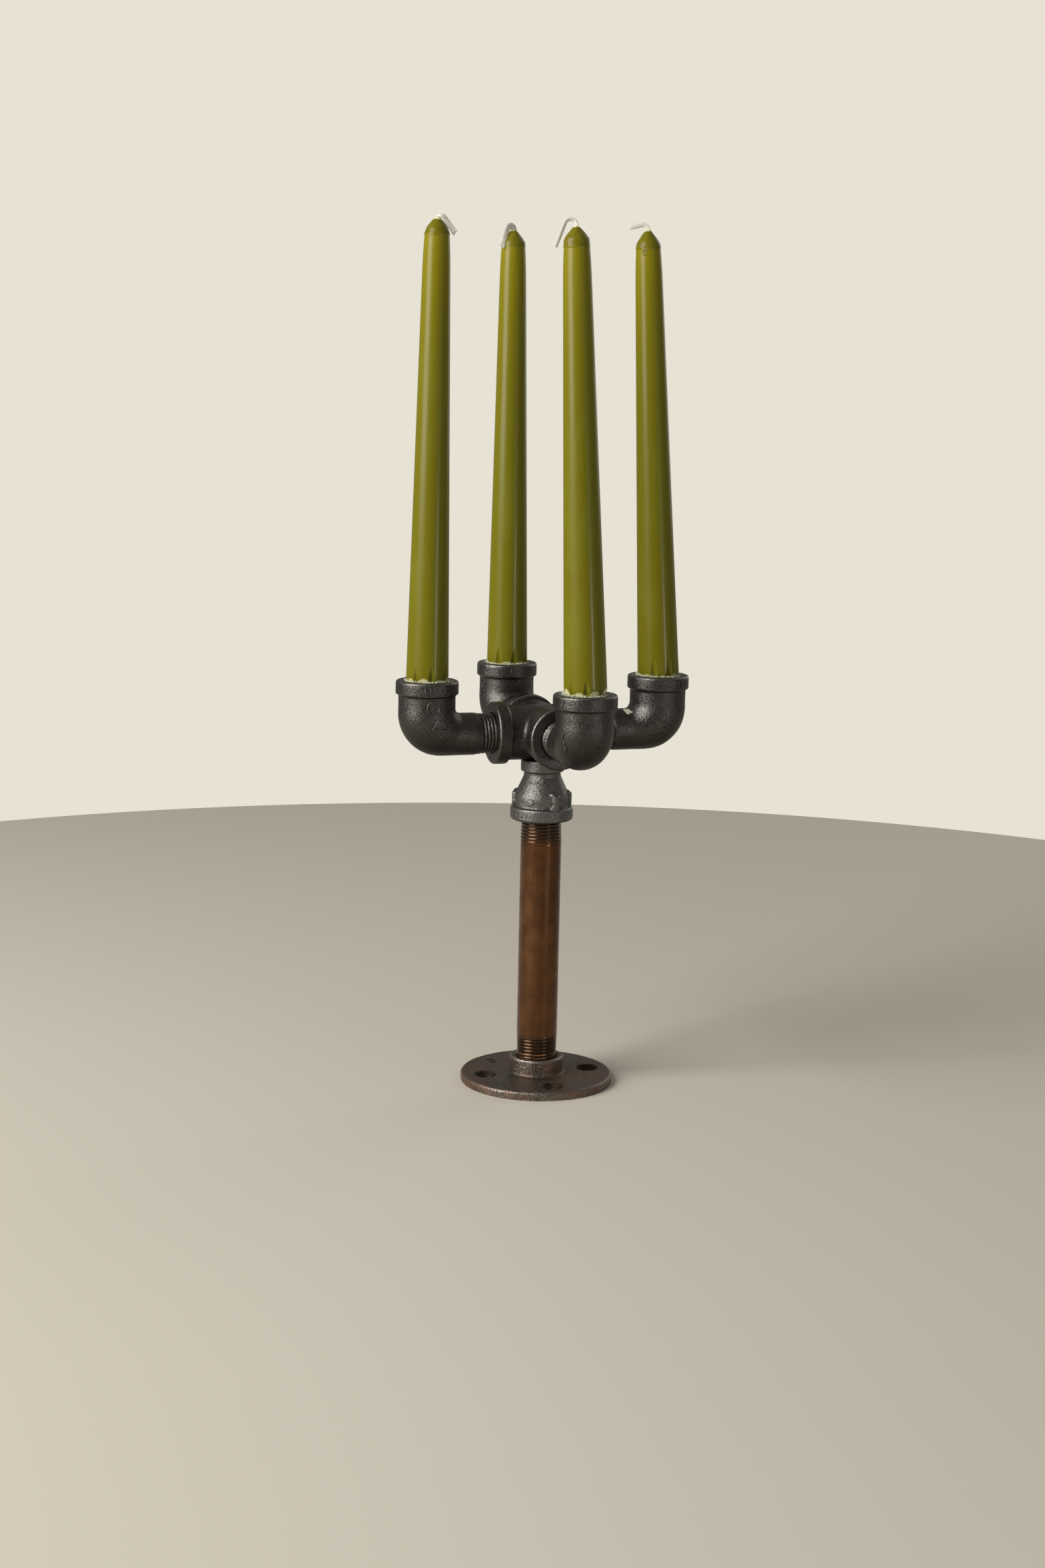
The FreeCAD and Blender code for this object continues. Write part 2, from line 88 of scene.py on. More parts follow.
def calc(tree, operation, first, second=0.0, clamp=False):
    made = put(tree, "ShaderNodeMath", {"operation": operation, "use_clamp": clamp})
    connect(tree, first, made.inputs[0])
    connect(tree, second, made.inputs[1])
    return made.outputs[0]


def blend_colours(tree, share, first, second):
    made = put(tree, "ShaderNodeMix", {"data_type": "RGBA"})
    connect(tree, share, made.inputs[0])
    connect(tree, first, made.inputs[6])
    connect(tree, second, made.inputs[7])
    return made.outputs[2]


def spread(tree, value, low, high, out_low=0.0, out_high=1.0):
    made = put(tree, "ShaderNodeMapRange", {"interpolation_type": "SMOOTHSTEP"})
    connect(tree, value, made.inputs["Value"])
    for key, amount in (("From Min", low), ("From Max", high), ("To Min", out_low), ("To Max", out_high)):
        connect(tree, amount, made.inputs[key])
    return made.outputs["Result"]


def grain(tree, place, scale, detail=3.0, rough=0.55):
    made = put(tree, "ShaderNodeTexNoise", Vector=place, Scale=scale, Detail=detail, Roughness=rough)
    return made.outputs["Fac"]


def stretched(tree, place, stretch):
    return put(tree, "ShaderNodeMapping", Vector=place, Scale=stretch).outputs["Vector"]


def new_group(name, ins, outs):
    """A shader node group with named float inputs and outputs."""
    tree = bpy.data.node_groups.new(name, "ShaderNodeTree")
    for label, default in ins:
        socket = tree.interface.new_socket(label, in_out="INPUT", socket_type="NodeSocketFloat")
        socket.default_value = default
    for label in outs:
        tree.interface.new_socket(label, in_out="OUTPUT", socket_type="NodeSocketFloat")
    return tree, tree.nodes.new("NodeGroupInput"), tree.nodes.new("NodeGroupOutput")


def use_group(tree, group, **inputs):
    made = tree.nodes.new("ShaderNodeGroup")
    made.node_tree = group
    for key, value in inputs.items():
        connect(tree, value, made.inputs[key.replace("_", " ")])
    return made


def new_material(name):
    material = bpy.data.materials.new(name)
    material.use_nodes = True
    tree = material.node_tree
    shader = tree.nodes["Principled BSDF"]
    place = tree.nodes.new("ShaderNodeTexCoord").outputs["Object"]
    return material, tree, shader, place


def raise_normal(tree, shader, height, depth, strength=1.0):
    bump = put(tree, "ShaderNodeBump", Height=height, Distance=depth, Strength=strength)
    tree.links.new(bump.outputs["Normal"], shader.inputs["Normal"])


# ---------------------------------------------------------------- shared effects

def make_wear_and_crease_shade():
    """Masks of rubbed convex edges, broken up by noise, and of creases, which are darkened as painted
    shade.

    The bend is above 0 where a surface bulges and below 0 where it folds in.
    """
    given_names = [("Bend", 0.0), ("Low", 0.02), ("High", 0.1), ("Break Up", 0.5)]
    tree, given, out = new_group("wear_and_crease_shade", given_names, ["Mask", "Crease"])
    place = tree.nodes.new("ShaderNodeTexCoord").outputs["Object"]
    edge = spread(tree, given.outputs["Bend"], given.outputs["Low"], given.outputs["High"])
    patchy = spread(tree, grain(tree, place, 420.0, 3.0, 0.7), 0.35, 0.65)
    broken = calc(tree, "SUBTRACT", 1.0, given.outputs["Break Up"])
    kept = calc(tree, "ADD", broken, calc(tree, "MULTIPLY", patchy, given.outputs["Break Up"]), clamp=True)
    connect(tree, calc(tree, "MULTIPLY", edge, kept), out.inputs["Mask"])
    connect(tree, spread(tree, given.outputs["Bend"], -0.02, -0.10), out.inputs["Crease"])
    return tree


def make_cast_skin():
    """Height and speckle of a sand-cast surface: fine sand grain, rare pits and slow waviness."""
    tree, given, out = new_group(
        "cast_skin", [("Sand Scale", 2200.0), ("Lump Share", 1.6)], ["Height", "Speckle", "Pits", "Clouds"],
    )
    place = tree.nodes.new("ShaderNodeTexCoord").outputs["Object"]
    sand = grain(tree, place, given.outputs["Sand Scale"], 2.0, 0.6)
    lumps = grain(tree, place, 620.0, 2.0)
    pits = spread(tree, grain(tree, place, 360.0, 1.0), 0.27, 0.20)
    height = calc(tree, "ADD", sand, calc(tree, "MULTIPLY", lumps, given.outputs["Lump Share"]))
    connect(tree, calc(tree, "SUBTRACT", height, pits), out.inputs["Height"])
    connect(tree, spread(tree, sand, 0.38, 0.70), out.inputs["Speckle"])
    connect(tree, pits, out.inputs["Pits"])
    connect(tree, spread(tree, grain(tree, place, 60.0, 4.0, 0.6), 0.38, 0.66), out.inputs["Clouds"])
    return tree


WEAR_AND_CREASE_SHADE = make_wear_and_crease_shade()
CAST_SKIN = make_cast_skin()


# ---------------------------------------------------------------- materials

def cast_iron(name, dark, light, rust, rust_share, roughness, sand_scale, lump_share, depth):
    """Black malleable iron: dark oxide with fine sand grain, rubbed edges and a brown tint; painted shade
    darkens its creases, undersides and screw holes.
    """
    material, tree, shader, place = new_material(name)
    skin = use_group(tree, CAST_SKIN, Sand_Scale=sand_scale, Lump_Share=lump_share)
    bend = put(tree, "ShaderNodeAttribute", {"attribute_name": "bend"}).outputs["Fac"]
    wear_and_shade = use_group(tree, WEAR_AND_CREASE_SHADE, Bend=bend, Low=0.03, High=0.09, Break_Up=0.45)
    painted_shade = put(tree, "ShaderNodeAttribute", {"attribute_name": "painted_shade"}).outputs["Fac"]
    colour = blend_colours(tree, calc(tree, "MULTIPLY", skin.outputs["Speckle"], 0.55), dark, light)
    colour = blend_colours(tree, calc(tree, "MULTIPLY", skin.outputs["Clouds"], rust_share), colour, rust)
    worn = calc(tree, "MULTIPLY", wear_and_shade.outputs["Mask"], 0.75)
    colour = blend_colours(tree, worn, colour, (0.40, 0.38, 0.36, 1))
    # Pits are darkened as real spots; creases are darkened as painted shade.
    pits_and_crease_shade = calc(tree, "MAXIMUM", skin.outputs["Pits"], wear_and_shade.outputs["Crease"])
    colour = blend_colours(tree, calc(tree, "MULTIPLY", pits_and_crease_shade, 0.8), colour, (0.006, 0.005, 0.0045, 1))
    # Painted shade: undersides and the flange's screw holes are darkened dark brown, where shade falls.
    colour = blend_colours(tree, calc(tree, "MULTIPLY", painted_shade, 0.85), colour, (0.012, 0.008, 0.006, 1))
    connect(tree, colour, shader.inputs["Base Color"])
    shader.inputs["Metallic"].default_value = 0.88
    dull = calc(tree, "ADD", roughness, calc(tree, "MULTIPLY", skin.outputs["Clouds"], 0.08))
    dull = calc(tree, "ADD", dull, calc(tree, "MULTIPLY", wear_and_shade.outputs["Mask"], -0.10))
    connect(tree, calc(tree, "ADD", dull, calc(tree, "MULTIPLY", painted_shade, 0.15)), shader.inputs["Roughness"])
    raise_normal(tree, shader, skin.outputs["Height"], depth, 0.9)
    return material


def aged_brass():
    """Brown, handled brass pipe: blotchy patina, fine drawn lines, bright crests and a few scratches."""
    material, tree, shader, place = new_material("aged_brass")
    pointed = tree.nodes.new("ShaderNodeNewGeometry").outputs["Pointiness"]
    wear_and_shade = use_group(
        tree, WEAR_AND_CREASE_SHADE, Bend=calc(tree, "SUBTRACT", pointed, 0.5), Low=0.02, High=0.10, Break_Up=0.3,
    )
    blotch = spread(tree, grain(tree, place, 85.0, 4.0, 0.6), 0.35, 0.68)
    lines = grain(tree, stretched(tree, place, (1.0, 1.0, 0.04)), 1100.0, 2.0)
    colour = blend_colours(tree, blotch, (0.082, 0.032, 0.0105, 1), (0.132, 0.057, 0.021, 1))
    drawn = calc(tree, "MULTIPLY", spread(tree, lines, 0.4, 0.7), 0.16)
    colour = blend_colours(tree, drawn, colour, (0.24, 0.13, 0.06, 1))
    marks = put(
        tree, "ShaderNodeTexVoronoi", {"feature": "F1"},
        Vector=stretched(tree, place, (1.0, 1.0, 0.20)), Scale=150.0,
    )
    scratch = spread(tree, marks.outputs["Distance"], 0.06, 0.03)
    scratch = calc(tree, "MULTIPLY", scratch, spread(tree, grain(tree, place, 40.0, 1.0), 0.55, 0.6))
    rubbed = put(tree, "ShaderNodeAttribute", {"attribute_name": "rubbed"}).outputs["Fac"]
    threaded = put(tree, "ShaderNodeAttribute", {"attribute_name": "threaded"}).outputs["Fac"]
    colour = blend_colours(tree, calc(tree, "MULTIPLY", threaded, 0.8), colour, (0.040, 0.023, 0.013, 1))
    gilt = calc(tree, "ADD", calc(tree, "MULTIPLY", wear_and_shade.outputs["Mask"], 0.15), rubbed, clamp=True)
    colour = blend_colours(tree, gilt, colour, (0.55, 0.30, 0.12, 1))
    colour = blend_colours(tree, scratch, colour, (0.75, 0.38, 0.20, 1))
    # Painted shade in creases and thread grooves, darkening the folds of the pipe.
    brass_crease_shade = calc(tree, "MULTIPLY", wear_and_shade.outputs["Crease"], 0.8)
    colour = blend_colours(tree, brass_crease_shade, colour, (0.016, 0.009, 0.005, 1))
    connect(tree, colour, shader.inputs["Base Color"])
    shader.inputs["Metallic"].default_value = 0.8
    shader.inputs["Coat Weight"].default_value = 0.06
    shader.inputs["Coat Roughness"].default_value = 0.24
    connect(tree, spread(tree, blotch, 0.0, 1.0, 0.26, 0.19), shader.inputs["Roughness"])
    raise_normal(tree, shader, calc(tree, "ADD", lines, calc(tree, "MULTIPLY", blotch, 0.8)), 0.00002, 0.5)
    return material


def olive_wax():
    """Dyed wax over a pale core, which shows where the foot of the candle is shaved."""
    material, tree, shader, place = new_material("olive_wax")
    shaved = put(tree, "ShaderNodeAttribute", {"attribute_name": "shaved"}).outputs["Fac"]
    dipped = put(tree, "ShaderNodeAttribute", {"attribute_name": "dipped"}).outputs["Fac"]
    thin = put(tree, "ShaderNodeAttribute", {"attribute_name": "thin"}).outputs["Fac"]
    bloom = spread(tree, grain(tree, stretched(tree, place, (1, 1, 0.4)), 70.0, 3.0, 0.5), 0.46, 0.72)
    colour = blend_colours(tree, thin, (0.160, 0.146, 0.0010, 1), (0.262, 0.222, 0.0022, 1))
    colour = blend_colours(tree, calc(tree, "MULTIPLY", bloom, 0.35), colour, (0.185, 0.190, 0.008, 1))
    colour = blend_colours(tree, dipped, colour, (0.170, 0.150, 0.0028, 1))
    specks = spread(tree, grain(tree, place, 1300.0, 1.0), 0.75, 0.79)
    colour = blend_colours(tree, calc(tree, "MULTIPLY", specks, 0.4), colour, (0.4, 0.4, 0.22, 1))
    colour = blend_colours(tree, spread(tree, shaved, 0.0, 0.5), colour, (0.34, 0.32, 0.045, 1))
    core = blend_colours(tree, grain(tree, place, 900.0, 3.0), (0.50, 0.50, 0.24, 1), (0.70, 0.70, 0.52, 1))
    colour = blend_colours(tree, spread(tree, shaved, 0.45, 1.0), colour, core)
    connect(tree, colour, shader.inputs["Base Color"])
    shader.inputs["Subsurface Weight"].default_value = 0.3
    shader.inputs["Subsurface Radius"].default_value = (0.8, 0.7, 0.1)
    shader.inputs["Subsurface Scale"].default_value = 0.002
    shader.inputs["Specular IOR Level"].default_value = 0.22
    shader.inputs["Coat Weight"].default_value = 0.16
    shader.inputs["Coat Roughness"].default_value = 0.14
    smooth = calc(tree, "ADD", 0.34, calc(tree, "MULTIPLY", bloom, 0.10))
    cut_dull = calc(tree, "MULTIPLY", shaved, 0.3)
    connect(tree, calc(tree, "ADD", smooth, cut_dull), shader.inputs["Roughness"])
    ripple = grain(tree, stretched(tree, place, (1, 1, 0.35)), 190.0, 2.0)
    rough_cut = calc(tree, "MULTIPLY", grain(tree, place, 1500.0, 2.0), calc(tree, "MULTIPLY", shaved, 0.9))
    raise_normal(tree, shader, calc(tree, "ADD", ripple, rough_cut), 0.00016, 0.6)
    return material


def pale_wax():
    """Crumbs of shaved wax, cream with traces of green dye."""
    material, tree, shader, place = new_material("pale_wax")
    tint = spread(tree, grain(tree, place, 420.0, 2.0), 0.50, 0.72)
    dyed = calc(tree, "MULTIPLY", tint, 0.7)
    colour = blend_colours(tree, dyed, (0.62, 0.62, 0.50, 1), (0.38, 0.40, 0.14, 1))
    connect(tree, colour, shader.inputs["Base Color"])
    shader.inputs["Specular IOR Level"].default_value = 0.25
    connect(tree, spread(tree, tint, 0.0, 1.0, 0.55, 0.7), shader.inputs["Roughness"])
    raise_normal(tree, shader, grain(tree, place, 1600.0, 2.0), 0.00006, 0.4)
    return material


def cotton():
    """Waxed cotton strands, darker where soaked with wax near the candle."""
    material, tree, shader, place = new_material("cotton_wick")
    soaked = put(tree, "ShaderNodeAttribute", {"attribute_name": "soaked"}).outputs["Fac"]
    fibre = grain(tree, place, 2600.0, 3.0, 0.7)
    light = spread(tree, fibre, 0.3, 0.7)
    colour = blend_colours(tree, light, (0.66, 0.62, 0.55, 1), (0.88, 0.85, 0.79, 1))
    colour = blend_colours(tree, soaked, colour, (0.62, 0.58, 0.22, 1))
    connect(tree, colour, shader.inputs["Base Color"])
    shader.inputs["Specular IOR Level"].default_value = 0.25
    connect(tree, spread(tree, soaked, 0.0, 1.0, 0.85, 0.5), shader.inputs["Roughness"])
    raise_normal(tree, shader, fibre, 0.0001, 0.6)
    return material


def plain_matt(name, colour, roughness):
    material, tree, shader, place = new_material(name)
    soft = grain(tree, place, 3.0, 2.0)
    shade = tuple(channel * 0.97 for channel in colour[:3]) + (1,)
    connect(tree, blend_colours(tree, soft, shade, colour), shader.inputs["Base Color"])
    shader.inputs["Roughness"].default_value = roughness
    return material


IRON = cast_iron(
    "fitting_iron", dark=(0.060, 0.056, 0.052, 1), light=(0.26, 0.256, 0.248, 1),
    rust=(0.066, 0.054, 0.046, 1), rust_share=0.42, roughness=0.25,
    sand_scale=2000.0, lump_share=1.0, depth=0.00020,
)
REDUCER_IRON = cast_iron(
    "reducer_iron", dark=(0.125, 0.122, 0.116, 1), light=(0.40, 0.395, 0.385, 1),
    rust=(0.130, 0.122, 0.110, 1), rust_share=0.3, roughness=0.33,
    sand_scale=1900.0, lump_share=1.2, depth=0.00025,
)
FLANGE_IRON = cast_iron(
    "flange_iron", dark=(0.092, 0.076, 0.062, 1), light=(0.37, 0.32, 0.28, 1),
    rust=(0.190, 0.100, 0.068, 1), rust_share=0.75, roughness=0.35,
    sand_scale=1400.0, lump_share=1.1, depth=0.00034,
)
BRASS = aged_brass()
OLIVE = olive_wax()
CRUMB = pale_wax()
COTTON = cotton()


# ---------------------------------------------------------------- mesh helpers

def finish_piece(name, mesh, body, material, stands_for=()):
    """Put a mesh in the scene as a smooth-shaded piece that rides on a body."""
    mesh.materials.clear()
    mesh.materials.append(material)
    for face in mesh.polygons:
        face.use_smooth = True
    made = bpy.data.objects.new(name, mesh)
    bpy.context.scene.collection.objects.link(made)
    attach(made, body)
    if stands_for:
        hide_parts(*stands_for)
    return made


def to_mesh(bm, name):
    mesh = bpy.data.meshes.new(name)
    bm.to_mesh(mesh)
    bm.free()
    return mesh


def remeshed(mesh, voxel):
    """The mesh rebuilt as one even skin, which joins every closed shape in it."""
    holder = bpy.data.objects.new("holder", mesh)
    bpy.context.scene.collection.objects.link(holder)
    skin = holder.modifiers.new("skin", "REMESH")
    skin.mode = "VOXEL"
    skin.voxel_size = voxel
    skin.adaptivity = 0.0
    bpy.context.view_layer.update()
    held = holder.evaluated_get(bpy.context.evaluated_depsgraph_get())
    made = bpy.data.meshes.new_from_object(held)
    bpy.data.objects.remove(holder)
    return made


def node_copy(node):
    """A welded copy of a CAD node's mesh."""
    bm = bmesh.new()
    bm.from_mesh(frame["nodes"][node].data)
    bmesh.ops.remove_doubles(bm, verts=bm.verts, dist=0.002 * MM)
    return bm


def add_block(bm, place, size, round_by):
    """A rounded block of a size, standing at a 4x4 place."""
    made = bmesh.ops.create_cube(bm, size=1.0, matrix=place @ Matrix.Diagonal((*size, 1.0)))
    edges = {edge for vert in made["verts"] for edge in vert.link_edges}
    bmesh.ops.bevel(
        bm, geom=list(edges), offset=round_by, segments=3, profile=0.5, affect="EDGES", material=-1,
    )


def add_lump(bm, place, size):
    """A smooth oval lump of a size, standing at a 4x4 place."""
    bmesh.ops.create_icosphere(bm, subdivisions=3, radius=0.5, matrix=place @ Matrix.Diagonal((*size, 1.0)))


def add_ring(bm, place, radius, thickness):
    """A round wire ring lying flat at a 4x4 place."""
    upright = place @ Matrix.Translation((radius, 0, 0)) @ Matrix.Rotation(math.pi / 2, 4, "X")
    wire = bmesh.ops.create_circle(bm, segments=10, radius=thickness / 2, matrix=upright)["verts"]
    edges = list({edge for vert in wire for edge in vert.link_edges})
    bmesh.ops.spin(
        bm, geom=wire + edges, cent=place.translation, axis=place.col[2].to_3d(), angle=2 * math.pi,
        steps=32, use_merge=True, use_duplicate=False,
    )


# A distance that is outside every casting, measured from the middle of a fitting.
OUTSIDE_REACH = 40 * MM


class Surface:
    """The skin of a casting, on which raised marks are stamped."""

    def __init__(self, bm):
        self.bm = bm
        self.tree = BVHTree.FromBMesh(bm)

    def place(self, start, heading):
        """A place where a line meets the skin: X runs across, Y up, and Z out of the skin."""
        touch, facing, _, _ = self.tree.ray_cast(start, heading)
        across = Vector((0, 0, 1)).cross(facing).normalized()
        turn = Matrix((across, facing.cross(across), facing)).transposed().to_4x4()
        return Matrix.Translation(touch) @ turn

    def strokes(self, place, pattern, proud=0.5, width=1.1):
        """Raised strokes round a place, each given as (across, up, length, turn in degrees)."""
        for across, rise, length, turn in pattern:
            spot = place @ Vector((across * MM, rise * MM, 3 * MM))
            local = self.place(spot, -place.col[2].to_3d()) @ Matrix.Rotation(math.radians(turn), 4, "Z")
            add_block(self.bm, local, (length * MM, width * MM, 2 * proud * MM), 0.38 * MM)


def facing_place(surface, centre, turn):
    """The place on a casting's skin level with a centre, at a turn from the viewer's side."""
    azimuth = VIEWER_AT + math.radians(turn)
    out = Vector((math.cos(azimuth), math.sin(azimuth), 0))
    return surface.place(centre + out * OUTSIDE_REACH, -out)


def bends(bm, spacing):
    """How the skin bends at each vertex, evened out: above 0 where it bulges, below 0 in a fold."""
    bent = {}
    for vert in bm.verts:
        others = [edge.other_vert(vert) for edge in vert.link_edges]
        middle = sum((other.co for other in others), Vector()) / len(others)
        bent[vert] = (vert.co - middle).dot(vert.normal) / spacing
    for _ in range(2):
        evened = {}
        for vert in bm.verts:
            shared = [bent[edge.other_vert(vert)] for edge in vert.link_edges]
            evened[vert] = (bent[vert] + sum(shared)) / (1 + len(shared))
        bent = evened
    return bent


# Painted shade on the castings' undersides: the more a point faces down, the darker and duller it is
# painted.
def underside_shade(p, normal):
    return min(1.0, max(0.0, 0.20 - 1.10 * normal.z))


def cast_piece(name, node, body, material, voxel, to_local, soften, before=None, after=None,
               spared=lambda p: 0.0, painted_shade_where=underside_shade, bulge=0.035):
    """A casting: the CAD shape remeshed to one skin, softened and made uneven.

    before adds shapes that melt into the skin, and after stamps crisp marks on it.
    soften lists (rounds, test) pairs: each round smooths the points that pass the test.
    spared says how much of the unevenness a point is spared, and the painted-shade test how much painted
    shade darkens and dulls a point.
    """
    bm = node_copy(node)
    if before:
        before(bm)
    raw = to_mesh(bm, name)
    bm = bmesh.new()
    bm.from_mesh(remeshed(raw, voxel))
    bpy.data.meshes.remove(raw)
    painted_shade = bm.verts.layers.float.new("painted_shade")
    bend = bm.verts.layers.float.new("bend")
    local = {vert: to_local @ vert.co for vert in bm.verts}
    for rounds, test in soften:
        chosen = [vert for vert in bm.verts if test(local[vert])]
        for _ in range(rounds):
            bmesh.ops.smooth_vert(
                bm, verts=chosen, factor=0.5, use_axis_x=True, use_axis_y=True, use_axis_z=True,
            )
    bm.normal_update()
    bent = bends(bm, voxel)
    for vert in bm.verts:
        vert[bend] = bent[vert]
        vert[painted_shade] = painted_shade_where(local[vert], vert.normal)
        fine = 0.6 * noise.noise(vert.co * 900.0) + 0.6 * noise.noise(vert.co * 420.0)
        slow = noise.noise(vert.co * 95.0 + Vector((7, 3, 5)))
        push = bulge * MM * (fine + 2.2 * slow) * (1.0 - spared(local[vert]))
        vert.co += vert.normal * push
    if after:
        after(Surface(bm))
    return finish_piece(name, to_mesh(bm, name), body, material, (node,))


def upright_place(azimuth, radius, height):
    """A place on an upright cylinder: its X points outwards and its Z up."""
    turn = Matrix.Rotation(azimuth, 4, "Z")
    return Matrix.Translation((0, 0, height)) @ turn @ Matrix.Translation((radius, 0, 0))


# ---------------------------------------------------------------- fittings

def arm_matrix(side):
    """From an arm's own frame, X outwards and Z up at the arm's height, to the whole object's."""
    outward = Vector(JOINTS[f"elbow_turn_{side}"]["axis"])
    turn = math.atan2(outward.y, outward.x)
    return Matrix.Translation((0, 0, ARM_HEIGHT)) @ Matrix.Rotation(turn, 4, "Z")


THREAD_END = CROSS_FACE + 9.6 * MM


# Raised foundry marks as strokes: (across, up, length, turn), in millimetres and degrees.
BARS = [(across, 0, 3.4, 90) for across in (-5.0, -2.5, 0.0, 2.5, 5.0)]
DOTS = [(-6.0, -0.6, 1.6, 0), (5.8, -0.2, 1.6, 0)]
TRIANGLE = [(-2.2, 0.6, 6.2, 58), (2.2, 0.6, 6.2, -58), (0.0, -2.4, 5.6, 0), (0.6, -5.6, 1.8, 80)]
TICK = [(-1.6, 1.6, 6.6, -46), (1.6, -2.0, 4.6, 32), (2.4, 1.2, 2.4, 78)]
LUMPS = [(0.2, 2.6, 3.4, 70), (0.7, -1.0, 2.0, 40), (1.1, -3.8, 2.8, 75)]
SIDE_BARS = [(-2.6, 1.2, 3.4, 10), (-2.4, -2.8, 3.0, 80)]


def elbow_marks(side):
    """What stamps the raised marks of one elbow, which differ on each."""
    centre = arm_matrix(side) @ Vector((ARM_REACH, 0, 0))

    def facing(surface, turn, down):
        return facing_place(surface, Vector((centre.x, centre.y, MOUTH_HEIGHT - down * MM)), turn)

    def stamp(surface):
        if side == "left":
            surface.strokes(facing(surface, 18, 3.8), BARS)
            badge = facing(surface, 16, 12.4)
            add_ring(surface.bm, badge, 3.2 * MM, 0.9 * MM)
            surface.strokes(badge, [(0.0, 0.0, 1.9, 0)], 0.45, 1.9)
            surface.strokes(badge, DOTS, 0.4)
            surface.strokes(facing(surface, 30, 21.8), TRIANGLE, 0.6, 1.3)
        elif side == "right":
            surface.strokes(facing(surface, 30, 3.4), BARS)
            surface.strokes(facing(surface, 3, 22.5), TICK, 0.55, 1.2)
        elif side == "front":
            surface.strokes(facing(surface, -44, 3.8), [(0, 0, 3.4, 88)])
            surface.strokes(facing(surface, -50, 22.5), LUMPS, 0.6, 1.3)
        else:
            surface.strokes(facing(surface, -56, 14.0), LUMPS + SIDE_BARS)
            surface.strokes(facing(surface, 10, 3.6), [(0, 0, 2.6, 80)])

    return stamp


def build_elbow(side):
    return cast_piece(
        f"elbow_casting_{side}", f"street_elbow_{side}", f"arm_{side}", IRON,
        voxel=0.42 * MM, to_local=arm_matrix(side).inverted(),
        soften=[(1, lambda p: True), (5, lambda p: p.x > THREAD_END)],
        after=elbow_marks(side), spared=lambda p: 1.0 if p.x < THREAD_END else 0.0,
    )


def build_cross():
    def in_crotch(p):
        return abs(abs(p.x) - abs(p.y)) < 5.5 * MM and max(abs(p.x), abs(p.y)) < 19.5 * MM

    cast_piece(
        "cross_casting", "cross_fitting", "head", IRON,
        voxel=0.45 * MM, to_local=Matrix.Translation((0, 0, -ARM_HEIGHT)),
        soften=[(5, lambda p: True), (60, in_crotch), (6, lambda p: max(abs(p.x), abs(p.y)) < 20.5 * MM)],
    )


# Where each rib stands, in degrees from the viewer's side.
RIB_TURNS = (30, 88, 210, 270)
# Lumps on each rib: turn sideways, how far inside the band's face, height, and size.
RIB_LUMPS = [
    (0.05, 2.2, 12.4, (3.0, 3.8, 4.0)), (-0.08, 2.8, 14.4, (3.0, 3.4, 3.0)),
    (0.10, 1.9, 9.6, (2.8, 3.0, 4.2)), (-0.08, 1.8, 7.0, (2.8, 4.0, 3.6)),
]


def build_reducer():
    low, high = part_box("bell_reducer")
    radius = high.x

    def ribs(bm):
        for turn in RIB_TURNS:
            azimuth = VIEWER_AT + math.radians(turn)
            strap = upright_place(azimuth, radius - 3.1 * MM, low.z + 8.4 * MM)
            add_block(bm, strap, (5.0 * MM, 3.8 * MM, 12.4 * MM), 0.9 * MM)
            band_strap = upright_place(azimuth + 0.03, radius - 1.3 * MM, low.z + 3.2 * MM)
            add_block(bm, band_strap, (3.0 * MM, 4.2 * MM, 5.8 * MM), 0.9 * MM)
            for sideways, inwards, rise, size in RIB_LUMPS:
                spot = upright_place(azimuth + sideways, radius - inwards * MM, low.z + rise * MM)
                add_lump(bm, spot, tuple(width * MM for width in size))

    def stamp(surface):
        def facing(turn, rise):
            return facing_place(surface, Vector((0, 0, low.z + rise * MM)), turn)

        surface.strokes(facing(-24, 10.6), [(0.0, 0.0, 3.2, 45)], 0.5, 3.2)
        surface.strokes(facing(-42, 3.4), [(across, 0, 1.7, 0) for across in (-2.8, 0.0, 2.8)], 0.5, 1.7)
        surface.strokes(facing(-18, 20.6), [(across, 0, 2.4, 12) for across in (-3.4, 0.0, 3.4)], 0.5, 1.2)

    cast_piece(
        "reducer_casting", "bell_reducer", "head", REDUCER_IRON,
        voxel=0.36 * MM, to_local=Matrix.Identity(4), soften=[(3, lambda p: True)],
        before=ribs, after=stamp, bulge=0.06,
    )


FLANGE_TOP = 4.7 * MM
SCREW_CIRCLE = 56.0 * MM
COUNTERSINK = 12.8 * MM
FLANGE_PIT = Vector((20.7, -17.2, 0)) * MM
# The raised rectangle on the flange, as bars: (across, along, width, depth) in millimetres.
PLATE_MARK = [(0, 2, 5.4, 0.6), (0, -2, 5.4, 0.6), (2.6, 0, 0.6, 4.4), (-2.6, 0, 0.6, 4.4)]


